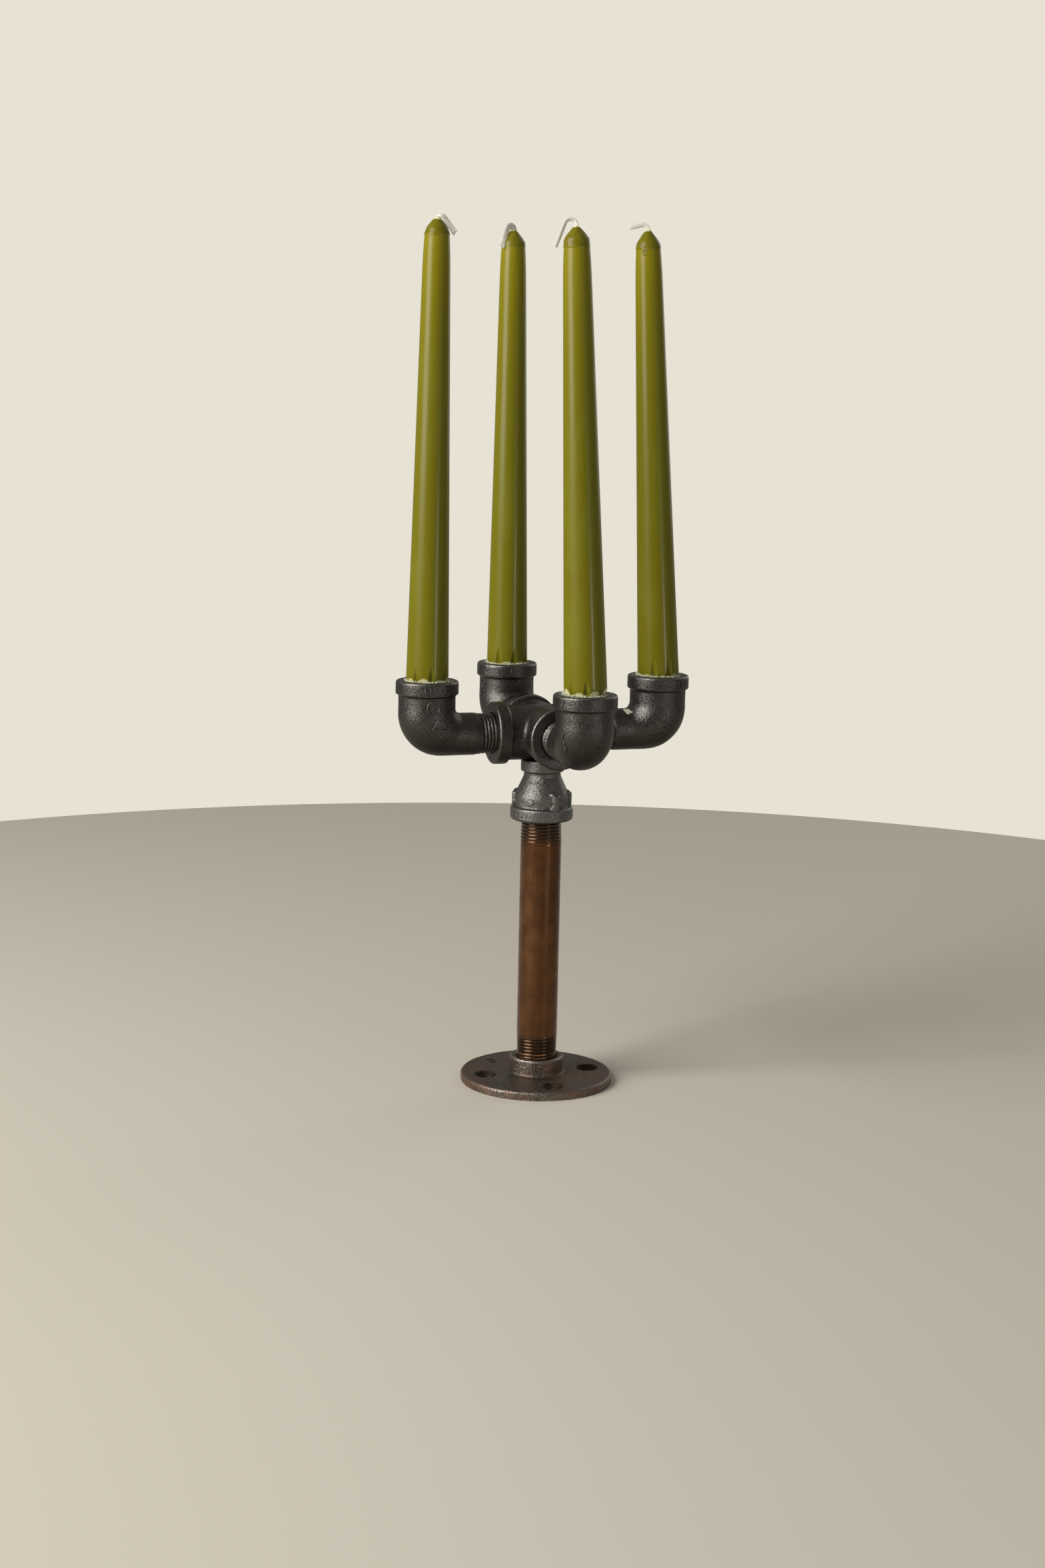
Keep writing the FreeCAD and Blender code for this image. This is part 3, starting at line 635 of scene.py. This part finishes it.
def build_flange():
    low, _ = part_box("floor_flange")

    # Painted shade inside the countersunk screw holes: points in them are darkened and dulled.
    def in_screw_hole(p, normal):
        if p.z > FLANGE_TOP - 0.25 * MM or abs(p.xy.length - SCREW_CIRCLE / 2) > COUNTERSINK / 2:
            return 0.0
        nearest = round(math.atan2(p.y, p.x) / (math.pi / 2)) * math.pi / 2 + math.radians(-2)
        hole = Vector((math.cos(nearest), math.sin(nearest))) * SCREW_CIRCLE / 2
        return 1.0 if (p.xy - hole).length < COUNTERSINK / 2 else 0.0

    def dent(surface):
        for vert in surface.bm.verts:
            away = Vector((vert.co.x - FLANGE_PIT.x, (vert.co.y - FLANGE_PIT.y) * 0.5, 0)).length / MM
            if vert.co.z > 3 * MM and away < 1.5:
                vert.co.z -= 0.9 * MM * (1 - (away / 1.5) ** 2)

    def stamp(surface):
        azimuth = VIEWER_AT + math.radians(-124)
        spot = Vector((math.cos(azimuth), math.sin(azimuth), 0)) * 30 * MM + Vector((0, 0, 20 * MM))
        plate = surface.place(spot, Vector((0, 0, -1)))
        touch = plate.translation
        turn = Matrix.Rotation(VIEWER_AT + math.pi / 2 + 0.2, 4, "Z")
        for across, along, wide, deep in PLATE_MARK:
            place = Matrix.Translation(touch) @ turn @ Matrix.Translation((across * MM, along * MM, 0))
            add_block(surface.bm, place, (wide * MM, deep * MM, 0.8 * MM), 0.2 * MM)
        dent(surface)

    cast_piece(
        "flange_casting", "floor_flange", "base", FLANGE_IRON,
        voxel=0.48 * MM, to_local=Matrix.Identity(4), soften=[(2, lambda p: p.z > low.z + 0.3 * MM)],
        after=stamp, spared=lambda p: 1.0 if p.z < low.z + 0.4 * MM else 0.0,
        painted_shade_where=in_screw_hole, bulge=0.06,
    )


# ---------------------------------------------------------------- post

THREAD_PITCH = 1.814
THREAD_DEPTH = 0.38
THREAD_TAPER = 1 / 32
THREAD_STEP = 0.2
POST_BORE_RADIUS = 7.9
# The one crest, above the flange's hub, that is rubbed bright.
RUBBED_CREST = (12.6, 15.2)
POST_SEGMENTS = 96
# Where each thread is full, and where it has faded out, in millimetres above the post's foot.
LOWER_THREAD = (22.0, 26.5)
UPPER_THREAD = (132.0, 127.5)


def build_post():
    """The pipe with its tapered threads, which fade out towards the plain middle."""
    low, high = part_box("post_nipple")
    outer, bore = high.x / MM, POST_BORE_RADIUS
    length = (high.z - low.z) / MM
    fine = [THREAD_STEP * step for step in range(int(LOWER_THREAD[1] / THREAD_STEP) + 1)]
    plain = [LOWER_THREAD[1] + 6 + 6 * step for step in range(15)]
    steps = int((length - UPPER_THREAD[1]) / THREAD_STEP)
    heights = fine + plain + [UPPER_THREAD[1] + THREAD_STEP * step for step in range(steps)]
    heights.append(length)
    bm = bmesh.new()
    outside = [bm.verts.new((outer, 0, height)) for height in heights]
    inside = [bm.verts.new((bore, 0, height)) for height in (length, 100.0, 50.0, 0.0)]
    line = outside + inside
    edges = [bm.edges.new((line[index - 1], line[index])) for index in range(len(line))]
    bmesh.ops.spin(
        bm, geom=line + edges, cent=(0, 0, 0), axis=(0, 0, 1), angle=2 * math.pi,
        steps=POST_SEGMENTS, use_merge=True, use_duplicate=False,
    )
    bmesh.ops.remove_doubles(bm, verts=bm.verts, dist=0.001)
    rubbed = bm.verts.layers.float.new("rubbed")
    threaded = bm.verts.layers.float.new("threaded")
    for vert in bm.verts:
        radius = Vector(vert.co.xy).length
        if radius < bore + 0.5:
            continue
        height = vert.co.z
        turn = math.atan2(vert.co.y, vert.co.x) / (2 * math.pi)
        if height < LOWER_THREAD[1]:
            full, gone, taper = LOWER_THREAD[0], LOWER_THREAD[1], THREAD_TAPER * (25.0 - height)
            fade = min(1.0, (gone - height) / (gone - full))
            winding = height / THREAD_PITCH - turn
        elif height > UPPER_THREAD[1]:
            full, gone, taper = UPPER_THREAD[0], UPPER_THREAD[1], THREAD_TAPER * (height - length + 22.0)
            fade = min(1.0, (height - gone) / (full - gone))
            winding = height / THREAD_PITCH - turn
        else:
            continue
        groove = abs(winding % 1.0 - 0.5) * 2
        vert[threaded] = fade
        wanted = outer - max(0.0, taper) - THREAD_DEPTH * fade * groove ** 2.2
        vert.co.xy = Vector(vert.co.xy) * (wanted / radius)
        if RUBBED_CREST[0] < height < RUBBED_CREST[1]:
            vert[rubbed] = max(0.0, 1.0 - 2.2 * groove) * (0.6 + 0.4 * math.sin(turn * 40))
    bm.transform(Matrix.Translation((0, 0, low.z)) @ Matrix.Scale(MM, 4))
    bmesh.ops.recalc_face_normals(bm, faces=bm.faces)
    finish_piece("post_pipe", to_mesh(bm, "post_pipe"), "head", BRASS, ("post_nipple",))


# ---------------------------------------------------------------- candles

FLUTES = 8
FLUTE_TOP = 9.0
CANDLE_SEGMENTS = 192
# A candle's sizes in millimetres. The shoulder is where the cap starts; the tip is the last stretch
# below it, where the taper rounds in; the foot is the stretch that is fluted and shaved.
SHOULDER_DOWN = 7.4
FOOT_RADIUS = 10.85
FOOT_HEIGHT = 13.0
TIP_RADIUS = 7.1
TIP_LENGTH = 24.0
FINE_TIP = 7.0
KNIFE_DEPTH = 0.85
# Each candle: turn of its flutes, height of the knife cuts, and where its dip ends and its cap begins
# above the shoulder; how domed the cap is; the turn and length of the run of wax below the dip.
CANDLES = {
    "left": {"turn": 14.0, "cut": 2.6, "dip": 0.0, "corner": 0.8, "dome": 1.55, "drip": (-4.0, 0.8)},
    "right": {"turn": 30.0, "cut": 2.2, "dip": -1.2, "corner": 1.0, "dome": 1.25, "drip": (-20.0, 3.2)},
    "front": {"turn": 2.0, "cut": 3.8, "dip": -1.7, "corner": 2.0, "dome": 1.2, "drip": (35.0, 0.5)},
    "back": {"turn": 20.0, "cut": 2.0, "dip": -0.3, "corner": 1.6, "dome": 1.2, "drip": (10.0, 0.7)},
}


def candle_matrix(side):
    """From a candle's own frame, Z up its leaning axis from the mouth, to the whole object's."""
    axis = Vector(JOINTS[f"candle_lift_{side}"]["axis"])
    mouth = arm_matrix(side) @ Vector((ARM_REACH, 0, 0))
    mouth.z = MOUTH_HEIGHT
    lean = Vector((0, 0, 1)).rotation_difference(axis).to_matrix().to_4x4()
    return Matrix.Translation(mouth) @ lean


def candle_reach(side):
    """The lowest and highest point of a candle along its own axis, in millimetres from the mouth."""
    down = candle_matrix(side).inverted()
    heights = [(down @ vert.co).z / MM for vert in frame["nodes"][f"taper_candle_{side}"].data.vertices]
    return min(heights), max(heights)


def taper_radius(height, shoulder):
    """Radius of the plain taper at a height above the mouth, in millimetres."""
    if height < shoulder - TIP_LENGTH:
        return FOOT_RADIUS - (FOOT_RADIUS - TIP_RADIUS) * height / (shoulder - TIP_LENGTH)
    near = (height - shoulder + TIP_LENGTH) / TIP_LENGTH
    return TIP_RADIUS - 0.45 * near - 0.50 * near ** 3


def candle_outline(bottom, top, settings):
    """Heights and radii up a candle, in millimetres: plug, fluted foot, taper and domed cap."""
    shoulder = top - SHOULDER_DOWN
    outline = [(bottom, 0.0), (bottom, 7.6), (bottom + 0.5, 8.3)]
    height = bottom + 1.2
    while height < FOOT_HEIGHT:
        outline.append((height, taper_radius(max(height, 0.0), shoulder)))
        height += 0.3
    steps = 60
    for index in range(steps):
        height = FOOT_HEIGHT + (shoulder - FINE_TIP - FOOT_HEIGHT) * index / steps
        outline.append((height, taper_radius(height, shoulder)))
    for index in range(16):
        height = shoulder - FINE_TIP + 0.4 * index
        outline.append((height, taper_radius(height, shoulder)))
    lip = 6.25
    corner = settings["corner"]
    cone = 7.3 - corner
    outline += [(shoulder - 0.4, lip), (shoulder + corner * 0.5, lip - 0.05)]
    outline.append((shoulder + corner, lip - 0.2))
    steps = 12
    for index in range(1, steps + 1):
        share = index / steps
        narrowed = (lip - 0.2 - 1.9) * share ** settings["dome"]
        outline.append((shoulder + corner + cone * share, lip - 0.2 - narrowed))
    top_rim = shoulder + corner + cone
    outline += [(top_rim + 0.15, 1.75), (top_rim - 0.1, 1.3), (top_rim - 0.3, 0.0)]
    return outline


def build_candle(side):
    """A taper turned from its outline, then fluted, shaved at the foot and dripped at the lip."""
    settings = CANDLES[side]
    bottom, top = candle_reach(side)
    shoulder = top - SHOULDER_DOWN
    bm = bmesh.new()
    outline = candle_outline(bottom, top, settings)
    line = [bm.verts.new((radius, 0, height)) for height, radius in outline]
    edges = [bm.edges.new(pair) for pair in zip(line, line[1:])]
    bmesh.ops.spin(
        bm, geom=line + edges, cent=(0, 0, 0), axis=(0, 0, 1), angle=2 * math.pi,
        steps=CANDLE_SEGMENTS, use_merge=True, use_duplicate=False,
    )
    bmesh.ops.remove_doubles(bm, verts=bm.verts, dist=0.001)
    shaved = bm.verts.layers.float.new("shaved")
    dipped = bm.verts.layers.float.new("dipped")
    thin = bm.verts.layers.float.new("thin")
    shuffle = random.Random(f"candle {side}")
    bites = [settings["cut"] * shuffle.uniform(0.6, 1.15) for _ in range(FLUTES)]
    tops = [FLUTE_TOP * shuffle.uniform(0.8, 1.15) for _ in range(FLUTES)]
    drip_turn, drip_length = settings["drip"]
    spacing = 360 / FLUTES
    for vert in bm.verts:
        height = vert.co.z
        radius = Vector(vert.co.xy).length
        if radius < 0.01:
            continue
        angle = math.atan2(vert.co.y, vert.co.x)
        vert[thin] = max(0.0, height / top) ** 5
        if height < FOOT_HEIGHT and radius > 8.4:
            step = (math.degrees(angle - VIEWER_AT) - settings["turn"]) % 360 / spacing
            groove = round(step) % FLUTES
            off = abs(step - round(step)) * spacing
            rise = max(0.0, 1.0 - max(height, 0.0) / tops[groove])
            width = 3.0 + 8.0 * rise
            depth = 1.5 * rise * max(0.0, 1.0 - (off / width) ** 1.4) if off < width else 0.0
            from_ridge = 1.0 - 2 * off / spacing
            ragged = 0.35 * noise.noise(Vector((angle * 14, 2.0, shoulder)))
            bite = bites[int(step) % FLUTES] * max(0.0, 1.0 - 1.1 * from_ridge ** 2)
            wobble = 0.1 * noise.noise(Vector((angle * 9, height * 1.2, 4.0)))
            cut = max(0.0, 1.0 - max(height, 0.0) / max(bite, 0.3)) ** 0.6
            knife = FOOT_RADIUS - KNIFE_DEPTH * cut + wobble
            if height < 0.0:
                knife = max(9.3, 9.9 + 0.9 * height) + wobble * 0.5
            wanted = radius - depth
            if wanted > knife and height < bite + ragged:
                vert[shaved] = min(1.0, (wanted - knife) / 0.3, (bite + ragged - height) / 1.3)
                wanted = knife
            vert.co.xy = Vector(vert.co.xy) * (wanted / radius)
        elif height > shoulder - FINE_TIP:
            run = abs((math.degrees(angle - VIEWER_AT) - drip_turn + 180) % 360 - 180)
            reach = 0.3 * noise.noise(Vector((math.cos(angle) * 2, math.sin(angle) * 2, shoulder)))
            reach += drip_length * max(0.0, 1.0 - (run / 14.0) ** 2)
            edge = shoulder + settings["dip"] - 0.35 - reach
            vert[dipped] = min(1.0, max(0.0, (height - edge) / 0.4))
            near = max(0.0, 1.0 - abs(height - edge - 0.5) / 0.8)
            if height < shoulder + settings["corner"]:
                vert.co.xy = Vector(vert.co.xy) * (1.0 + 0.03 * near + 0.008 * vert[dipped])
            uneven = noise.noise(Vector((math.cos(angle), math.sin(angle), height * 0.5)) * 1.4)
            vert.co.xy = Vector(vert.co.xy) * (1.0 + 0.03 * uneven * vert[dipped])
    bm.transform(candle_matrix(side) @ Matrix.Scale(MM, 4))
    bmesh.ops.recalc_face_normals(bm, faces=bm.faces)
    finish_piece(
        f"candle_{side}", to_mesh(bm, f"candle_{side}"), f"candle_{side}", OLIVE,
        (f"taper_candle_{side}",),
    )


# ---------------------------------------------------------------- wicks

# Which way each wick curls, in its candle's own frame; lengths in millimetres, turns in degrees.
# twist is how far the flat ribbon is turned at its root and at its end.
# knob is the width of the lumps of wax at its root.
WICKS = {
    "right": {
        "towards": 161.5, "rise": 0.5, "curl": 100.0, "radius": 3.0, "run": 5.5,
        "wide": 2.6, "twist": (55, 95), "knob": 1.0,
    },
    "back": {
        "towards": 202.0, "rise": 0.4, "curl": 158.0, "radius": 2.2, "run": 9.5,
        "wide": 3.2, "twist": (70, 120), "knob": 1.3,
    },
    "left": {
        "towards": -18.5, "rise": -0.2, "curl": 143.0, "radius": 1.8, "run": 9.0,
        "wide": 2.9, "twist": (35, 85), "knob": 2.0,
    },
    "front": {
        "towards": 166.0, "rise": 1.2, "curl": 156.0, "radius": 2.8, "run": 11.5,
        "wide": 2.0, "twist": (50, 80), "knob": 1.2,
    },
}
RIBBON_THICK = 0.9


def wick_line(side, top):
    """Points, headings and shares of the way up a wick, in millimetres in the candle's frame."""
    shape = WICKS[side]
    away = Matrix.Rotation(math.radians(shape["towards"]), 3, "Z") @ Vector((1, 0, 0))
    start = top - 1.5
    bend = top + shape["rise"]
    radius = shape["radius"]
    curl = math.radians(shape["curl"])
    upright, bent = bend - start, radius * curl
    total = upright + bent + shape["run"]
    line = []
    steps = int(total / 0.25)
    for index in range(steps + 1):
        gone = total * index / steps
        turned = min(max(gone - upright, 0.0) / radius, curl)
        heading = away * math.sin(turned) + Vector((0, 0, math.cos(turned)))
        point = Vector((0, 0, min(start + gone, bend))) + away * radius * (1 - math.cos(turned))
        point.z += radius * math.sin(turned)
        point += heading * max(0.0, gone - upright - bent)
        line.append((point, heading, gone / total))
    return line, away.cross(Vector((0, 0, 1)))


def add_tube(bm, path, turns, sizes, sides):
    """A closed tube along a path of points, with a turn matrix and a (width, thickness) at each."""
    loops = []
    for index, (point, turn, (wide, thick)) in enumerate(zip(path, turns, sizes)):
        place = Matrix.Translation(point) @ turn @ Matrix.Diagonal((wide / 2, thick / 2, 1, 1))
        ring = bmesh.ops.create_circle(
            bm, segments=sides, radius=1.0, cap_ends=index in (0, len(path) - 1), matrix=place,
        )["verts"]
        loops.append(list({edge for vert in ring for edge in vert.link_edges}))
    for lower, upper in zip(loops, loops[1:]):
        bmesh.ops.bridge_loops(bm, edges=lower + upper)


def build_wick(side):
    """A flat cotton ribbon with plaited ridges, curling over, twisting and frayed at the end."""
    _, top = candle_reach(side)
    line, across = wick_line(side, top)
    shape = WICKS[side]
    root_twist, end_twist = shape["twist"]
    shuffle = random.Random(f"wick {side}")
    bm = bmesh.new()
    turns = []
    for _, heading, share in line:
        out = heading.cross(across)
        twist = math.radians(root_twist + (end_twist - root_twist) * share)
        wide = across * math.cos(twist) + out * math.sin(twist)
        turns.append(Matrix((wide, heading.cross(wide), heading)).transposed().to_4x4())
    path = [point for point, _, _ in line]
    sizes = []
    for index in range(len(line)):
        swell = 1.0 + 0.02 * math.sin(index * 1.1) + 0.12 * noise.noise(Vector((index * 0.12, 0, top)))
        sizes.append((shape["wide"] * swell, RIBBON_THICK))
    add_tube(bm, path, turns, sizes, 28)
    for vert in bm.verts:
        nearest = min(range(len(path)), key=lambda index: (vert.co - path[index]).length)
        offset = turns[nearest].to_3x3().transposed() @ (vert.co - path[nearest])
        plait = math.sin(abs(offset.x) * 5.2 + nearest * 0.9) + math.sin(offset.x * 14.0)
        vert.co += (vert.co - path[nearest]) * 0.035 * plait
    end, heading, _ = line[-1]
    flat = turns[-1]
    wide, thin = flat.col[0].to_3d(), flat.col[1].to_3d()
    for _ in range(26):
        aside = shuffle.uniform(-0.44, 0.44) * shape["wide"]
        spot = wide * aside + thin * shuffle.uniform(-0.3, 0.3)
        root = end - heading * 1.0 + spot
        tip = root + heading * shuffle.uniform(1.3, 2.0 + 0.7 * aside) + spot * 0.2
        middle = (root + tip) / 2 + spot * shuffle.uniform(-0.05, 0.1)
        add_tube(bm, [root, middle, tip], [flat] * 3, [(0.3, 0.26), (0.25, 0.22), (0.08, 0.08)], 6)
    for _ in range(7):
        aside, along = shuffle.gauss(0, 0.5), shuffle.gauss(0, 0.5)
        spot = Vector((aside, along, top - 0.2 + shuffle.uniform(-0.2, 0.4)))
        size = tuple(shape["knob"] * shuffle.uniform(0.9, 1.4) for _ in range(3))
        add_lump(bm, Matrix.Translation(spot), size)
    soaked = bm.verts.layers.float.new("soaked")
    for vert in bm.verts:
        near_cap = vert.co.xy.length < 2.2
        vert[soaked] = max(0.0, min(1.0, 0.9 - (vert.co.z - top) / 1.6)) if near_cap else 0.0
    bm.transform(candle_matrix(side) @ Matrix.Scale(MM, 4))
    bmesh.ops.recalc_face_normals(bm, faces=bm.faces)
    finish_piece(
        f"wick_strands_{side}", to_mesh(bm, f"wick_strands_{side}"), f"candle_{side}",
        COTTON, (f"wick_{side}",),
    )


# ---------------------------------------------------------------- shaved wax

# For each mouth: how many crumbs, and the turn from the viewer's side where they lie thickest.
CRUMBS = {"left": (330, 60.0), "right": (560, -60.0), "front": (380, -50.0), "back": (360, 40.0)}


def build_wax(side):
    """Packed shaved wax in the mouth of a socket: a lumpy ring with crumbs on it and on the rim."""
    count, thick = CRUMBS[side]
    mouth = arm_matrix(side) @ Vector((ARM_REACH, 0, 0))
    shuffle = random.Random(f"wax {side}")
    bm = bmesh.new()
    profile = [(10.0, -0.9), (10.1, -0.1), (10.6, 0.15), (11.2, 0.05), (11.55, -0.3), (11.5, -0.9)]
    line = [bm.verts.new((radius, 0, height)) for radius, height in profile]
    edges = [bm.edges.new((line[index - 1], line[index])) for index in range(len(line))]
    bmesh.ops.spin(
        bm, geom=line + edges, cent=(0, 0, 0), axis=(0, 0, 1), angle=2 * math.pi,
        steps=120, use_merge=True, use_duplicate=False,
    )
    bmesh.ops.remove_doubles(bm, verts=bm.verts, dist=0.001)
    for vert in bm.verts:
        if vert.co.z > -0.8:
            vert.co.z += 0.35 * noise.noise(vert.co * 0.9)
    for index in range(count):
        turn = shuffle.uniform(-180, 180)
        if shuffle.random() < 0.45:
            turn = shuffle.gauss(thick, 45.0)
        azimuth = VIEWER_AT + math.radians(turn)
        stray = shuffle.random() < 0.16
        radius = shuffle.uniform(11.6, 14.4) if stray else shuffle.gauss(11.0, 0.45)
        size = shuffle.uniform(0.12, 0.30) if stray else shuffle.uniform(0.20, 0.52)
        height = size * 0.5 if radius > 11.7 else shuffle.uniform(-0.2, 0.5)
        squeeze = Matrix.Diagonal((
            shuffle.uniform(0.6, 1.7), shuffle.uniform(0.5, 1.0), shuffle.uniform(0.35, 0.8), 1,
        ))
        spin = Matrix.Rotation(shuffle.uniform(0, 6.28), 4, "Z")
        spin = spin @ Matrix.Rotation(shuffle.uniform(-0.7, 0.7), 4, "X")
        spot = Matrix.Translation((radius * math.cos(azimuth), radius * math.sin(azimuth), height))
        made = bmesh.ops.create_icosphere(bm, subdivisions=1, radius=size)["verts"]
        for vert in made:
            vert.co *= shuffle.uniform(0.6, 1.25)
        bmesh.ops.transform(bm, matrix=spot @ spin @ squeeze, verts=made)
    bm.transform(Matrix.Translation((mouth.x, mouth.y, MOUTH_HEIGHT)) @ Matrix.Scale(MM, 4))
    bmesh.ops.recalc_face_normals(bm, faces=bm.faces)
    piece = finish_piece(
        f"wax_crumbs_{side}", to_mesh(bm, f"wax_crumbs_{side}"), f"arm_{side}", CRUMB,
        (f"wax_seat_{side}",),
    )
    for face in piece.data.polygons:
        face.use_smooth = False


def build_splash(casting, side, along, radius):
    """A thin splash of pale wax that dried on top of an elbow's barrel."""
    bm = bmesh.new()
    bm.from_mesh(casting.data)
    to_local = arm_matrix(side).inverted()
    centre = Vector((along, -4 * MM, 10 * MM))
    missed = []
    for face in bm.faces:
        spot = to_local @ face.calc_center_median()
        edge = radius * (1.0 + 0.9 * noise.noise(spot * 500.0))
        if (spot - centre).length > edge or spot.z < 6 * MM:
            missed.append(face)
    bmesh.ops.delete(bm, geom=missed, context="FACES")
    bm.normal_update()
    for vert in bm.verts:
        vert.co += vert.normal * 0.02 * MM
    bmesh.ops.solidify(bm, geom=bm.faces[:], thickness=-0.22 * MM)
    bmesh.ops.recalc_face_normals(bm, faces=bm.faces)
    name = f"wax_splash_{side}"
    finish_piece(name, to_mesh(bm, name), f"arm_{side}", CRUMB)


# ---------------------------------------------------------------- stage

def build_stage():
    bm = bmesh.new()
    bmesh.ops.create_circle(bm, cap_ends=True, segments=160, radius=0.8)
    floor = bpy.data.objects.new("floor", to_mesh(bm, "floor"))
    floor.data.materials.append(plain_matt("pale_floor", (0.66, 0.62, 0.54, 1), 0.75))
    bpy.context.scene.collection.objects.link(floor)

    world = bpy.data.worlds.new("studio")
    bpy.context.scene.world = world
    world.use_nodes = True
    tree = world.node_tree
    seen = put(tree, "ShaderNodeBackground", Color=(0.80, 0.76, 0.66, 1), Strength=1.0)
    lit = put(tree, "ShaderNodeBackground", Color=(0.90, 0.86, 0.78, 1), Strength=0.22)
    path = tree.nodes.new("ShaderNodeLightPath")
    mix = tree.nodes.new("ShaderNodeMixShader")
    tree.links.new(path.outputs["Is Camera Ray"], mix.inputs[0])
    tree.links.new(lit.outputs[0], mix.inputs[1])
    tree.links.new(seen.outputs[0], mix.inputs[2])
    tree.links.new(mix.outputs[0], tree.nodes["World Output"].inputs["Surface"])


def add_light(name, turn, rise, distance, size, watts, colour):
    """An area light aimed at the candles, at a turn from the viewer's side and a rise in degrees."""
    data = bpy.data.lights.new(name, "AREA")
    data.shape = "RECTANGLE"
    data.size, data.size_y = size
    data.energy = watts
    data.color = colour
    lamp = bpy.data.objects.new(name, data)
    azimuth = VIEWER_AT + math.radians(turn)
    height = math.radians(rise)
    out = Vector((
        math.cos(azimuth) * math.cos(height),
        math.sin(azimuth) * math.cos(height),
        math.sin(height),
    ))
    lamp.location = Vector((0, 0, 0.27)) + out * distance
    lamp.rotation_mode = "QUATERNION"
    lamp.rotation_quaternion = out.to_track_quat("Z", "Y")
    bpy.context.scene.collection.objects.link(lamp)


def build_camera():
    right = Vector((math.cos(VIEW_AZIMUTH), math.sin(VIEW_AZIMUTH), 0))
    back = Vector((
        math.sin(VIEW_AZIMUTH) * math.cos(VIEW_ELEVATION),
        -math.cos(VIEW_AZIMUTH) * math.cos(VIEW_ELEVATION),
        math.sin(VIEW_ELEVATION),
    ))
    up = back.cross(right)
    rolled_right = right * math.cos(VIEW_ROLL) + up * math.sin(VIEW_ROLL)
    rolled_up = up * math.cos(VIEW_ROLL) - right * math.sin(VIEW_ROLL)
    aim = right * VIEW_AIM[0] + Vector((0, 0, VIEW_AIM[1]))
    data = bpy.data.cameras.new("camera")
    data.lens = VIEW_LENS_MM
    data.sensor_width = 36.0
    data.clip_start = 0.05
    camera = bpy.data.objects.new("camera", data)
    turn = Matrix((rolled_right, rolled_up, back)).transposed().to_4x4()
    camera.matrix_world = Matrix.Translation(aim + back * VIEW_DISTANCE) @ turn
    bpy.context.scene.collection.objects.link(camera)
    bpy.context.scene.camera = camera
    bpy.context.scene.view_settings.view_transform = "Standard"


build_camera()
build_stage()
add_light("window", -58, 24, 1.7, (1.1, 1.5), 40.0, (1.0, 0.97, 0.92))
add_light("strip", 44, -6, 1.6, (0.16, 0.22), 1.8, (1.0, 0.98, 0.95))
add_light("back_glow", 140, 20, 1.6, (0.7, 1.2), 3.0, (1.0, 0.97, 0.93))

nipple = frame["nodes"]["close_nipple"].data
nipple.materials.clear()
nipple.materials.append(IRON)
build_flange()
build_reducer()
build_cross()
build_post()
for side in SIDES:
    casting = build_elbow(side)
    if side == "right":
        build_splash(casting, side, CROSS_FACE + 16.5 * MM, 2.2 * MM)
    build_wax(side)
    build_candle(side)
    build_wick(side)
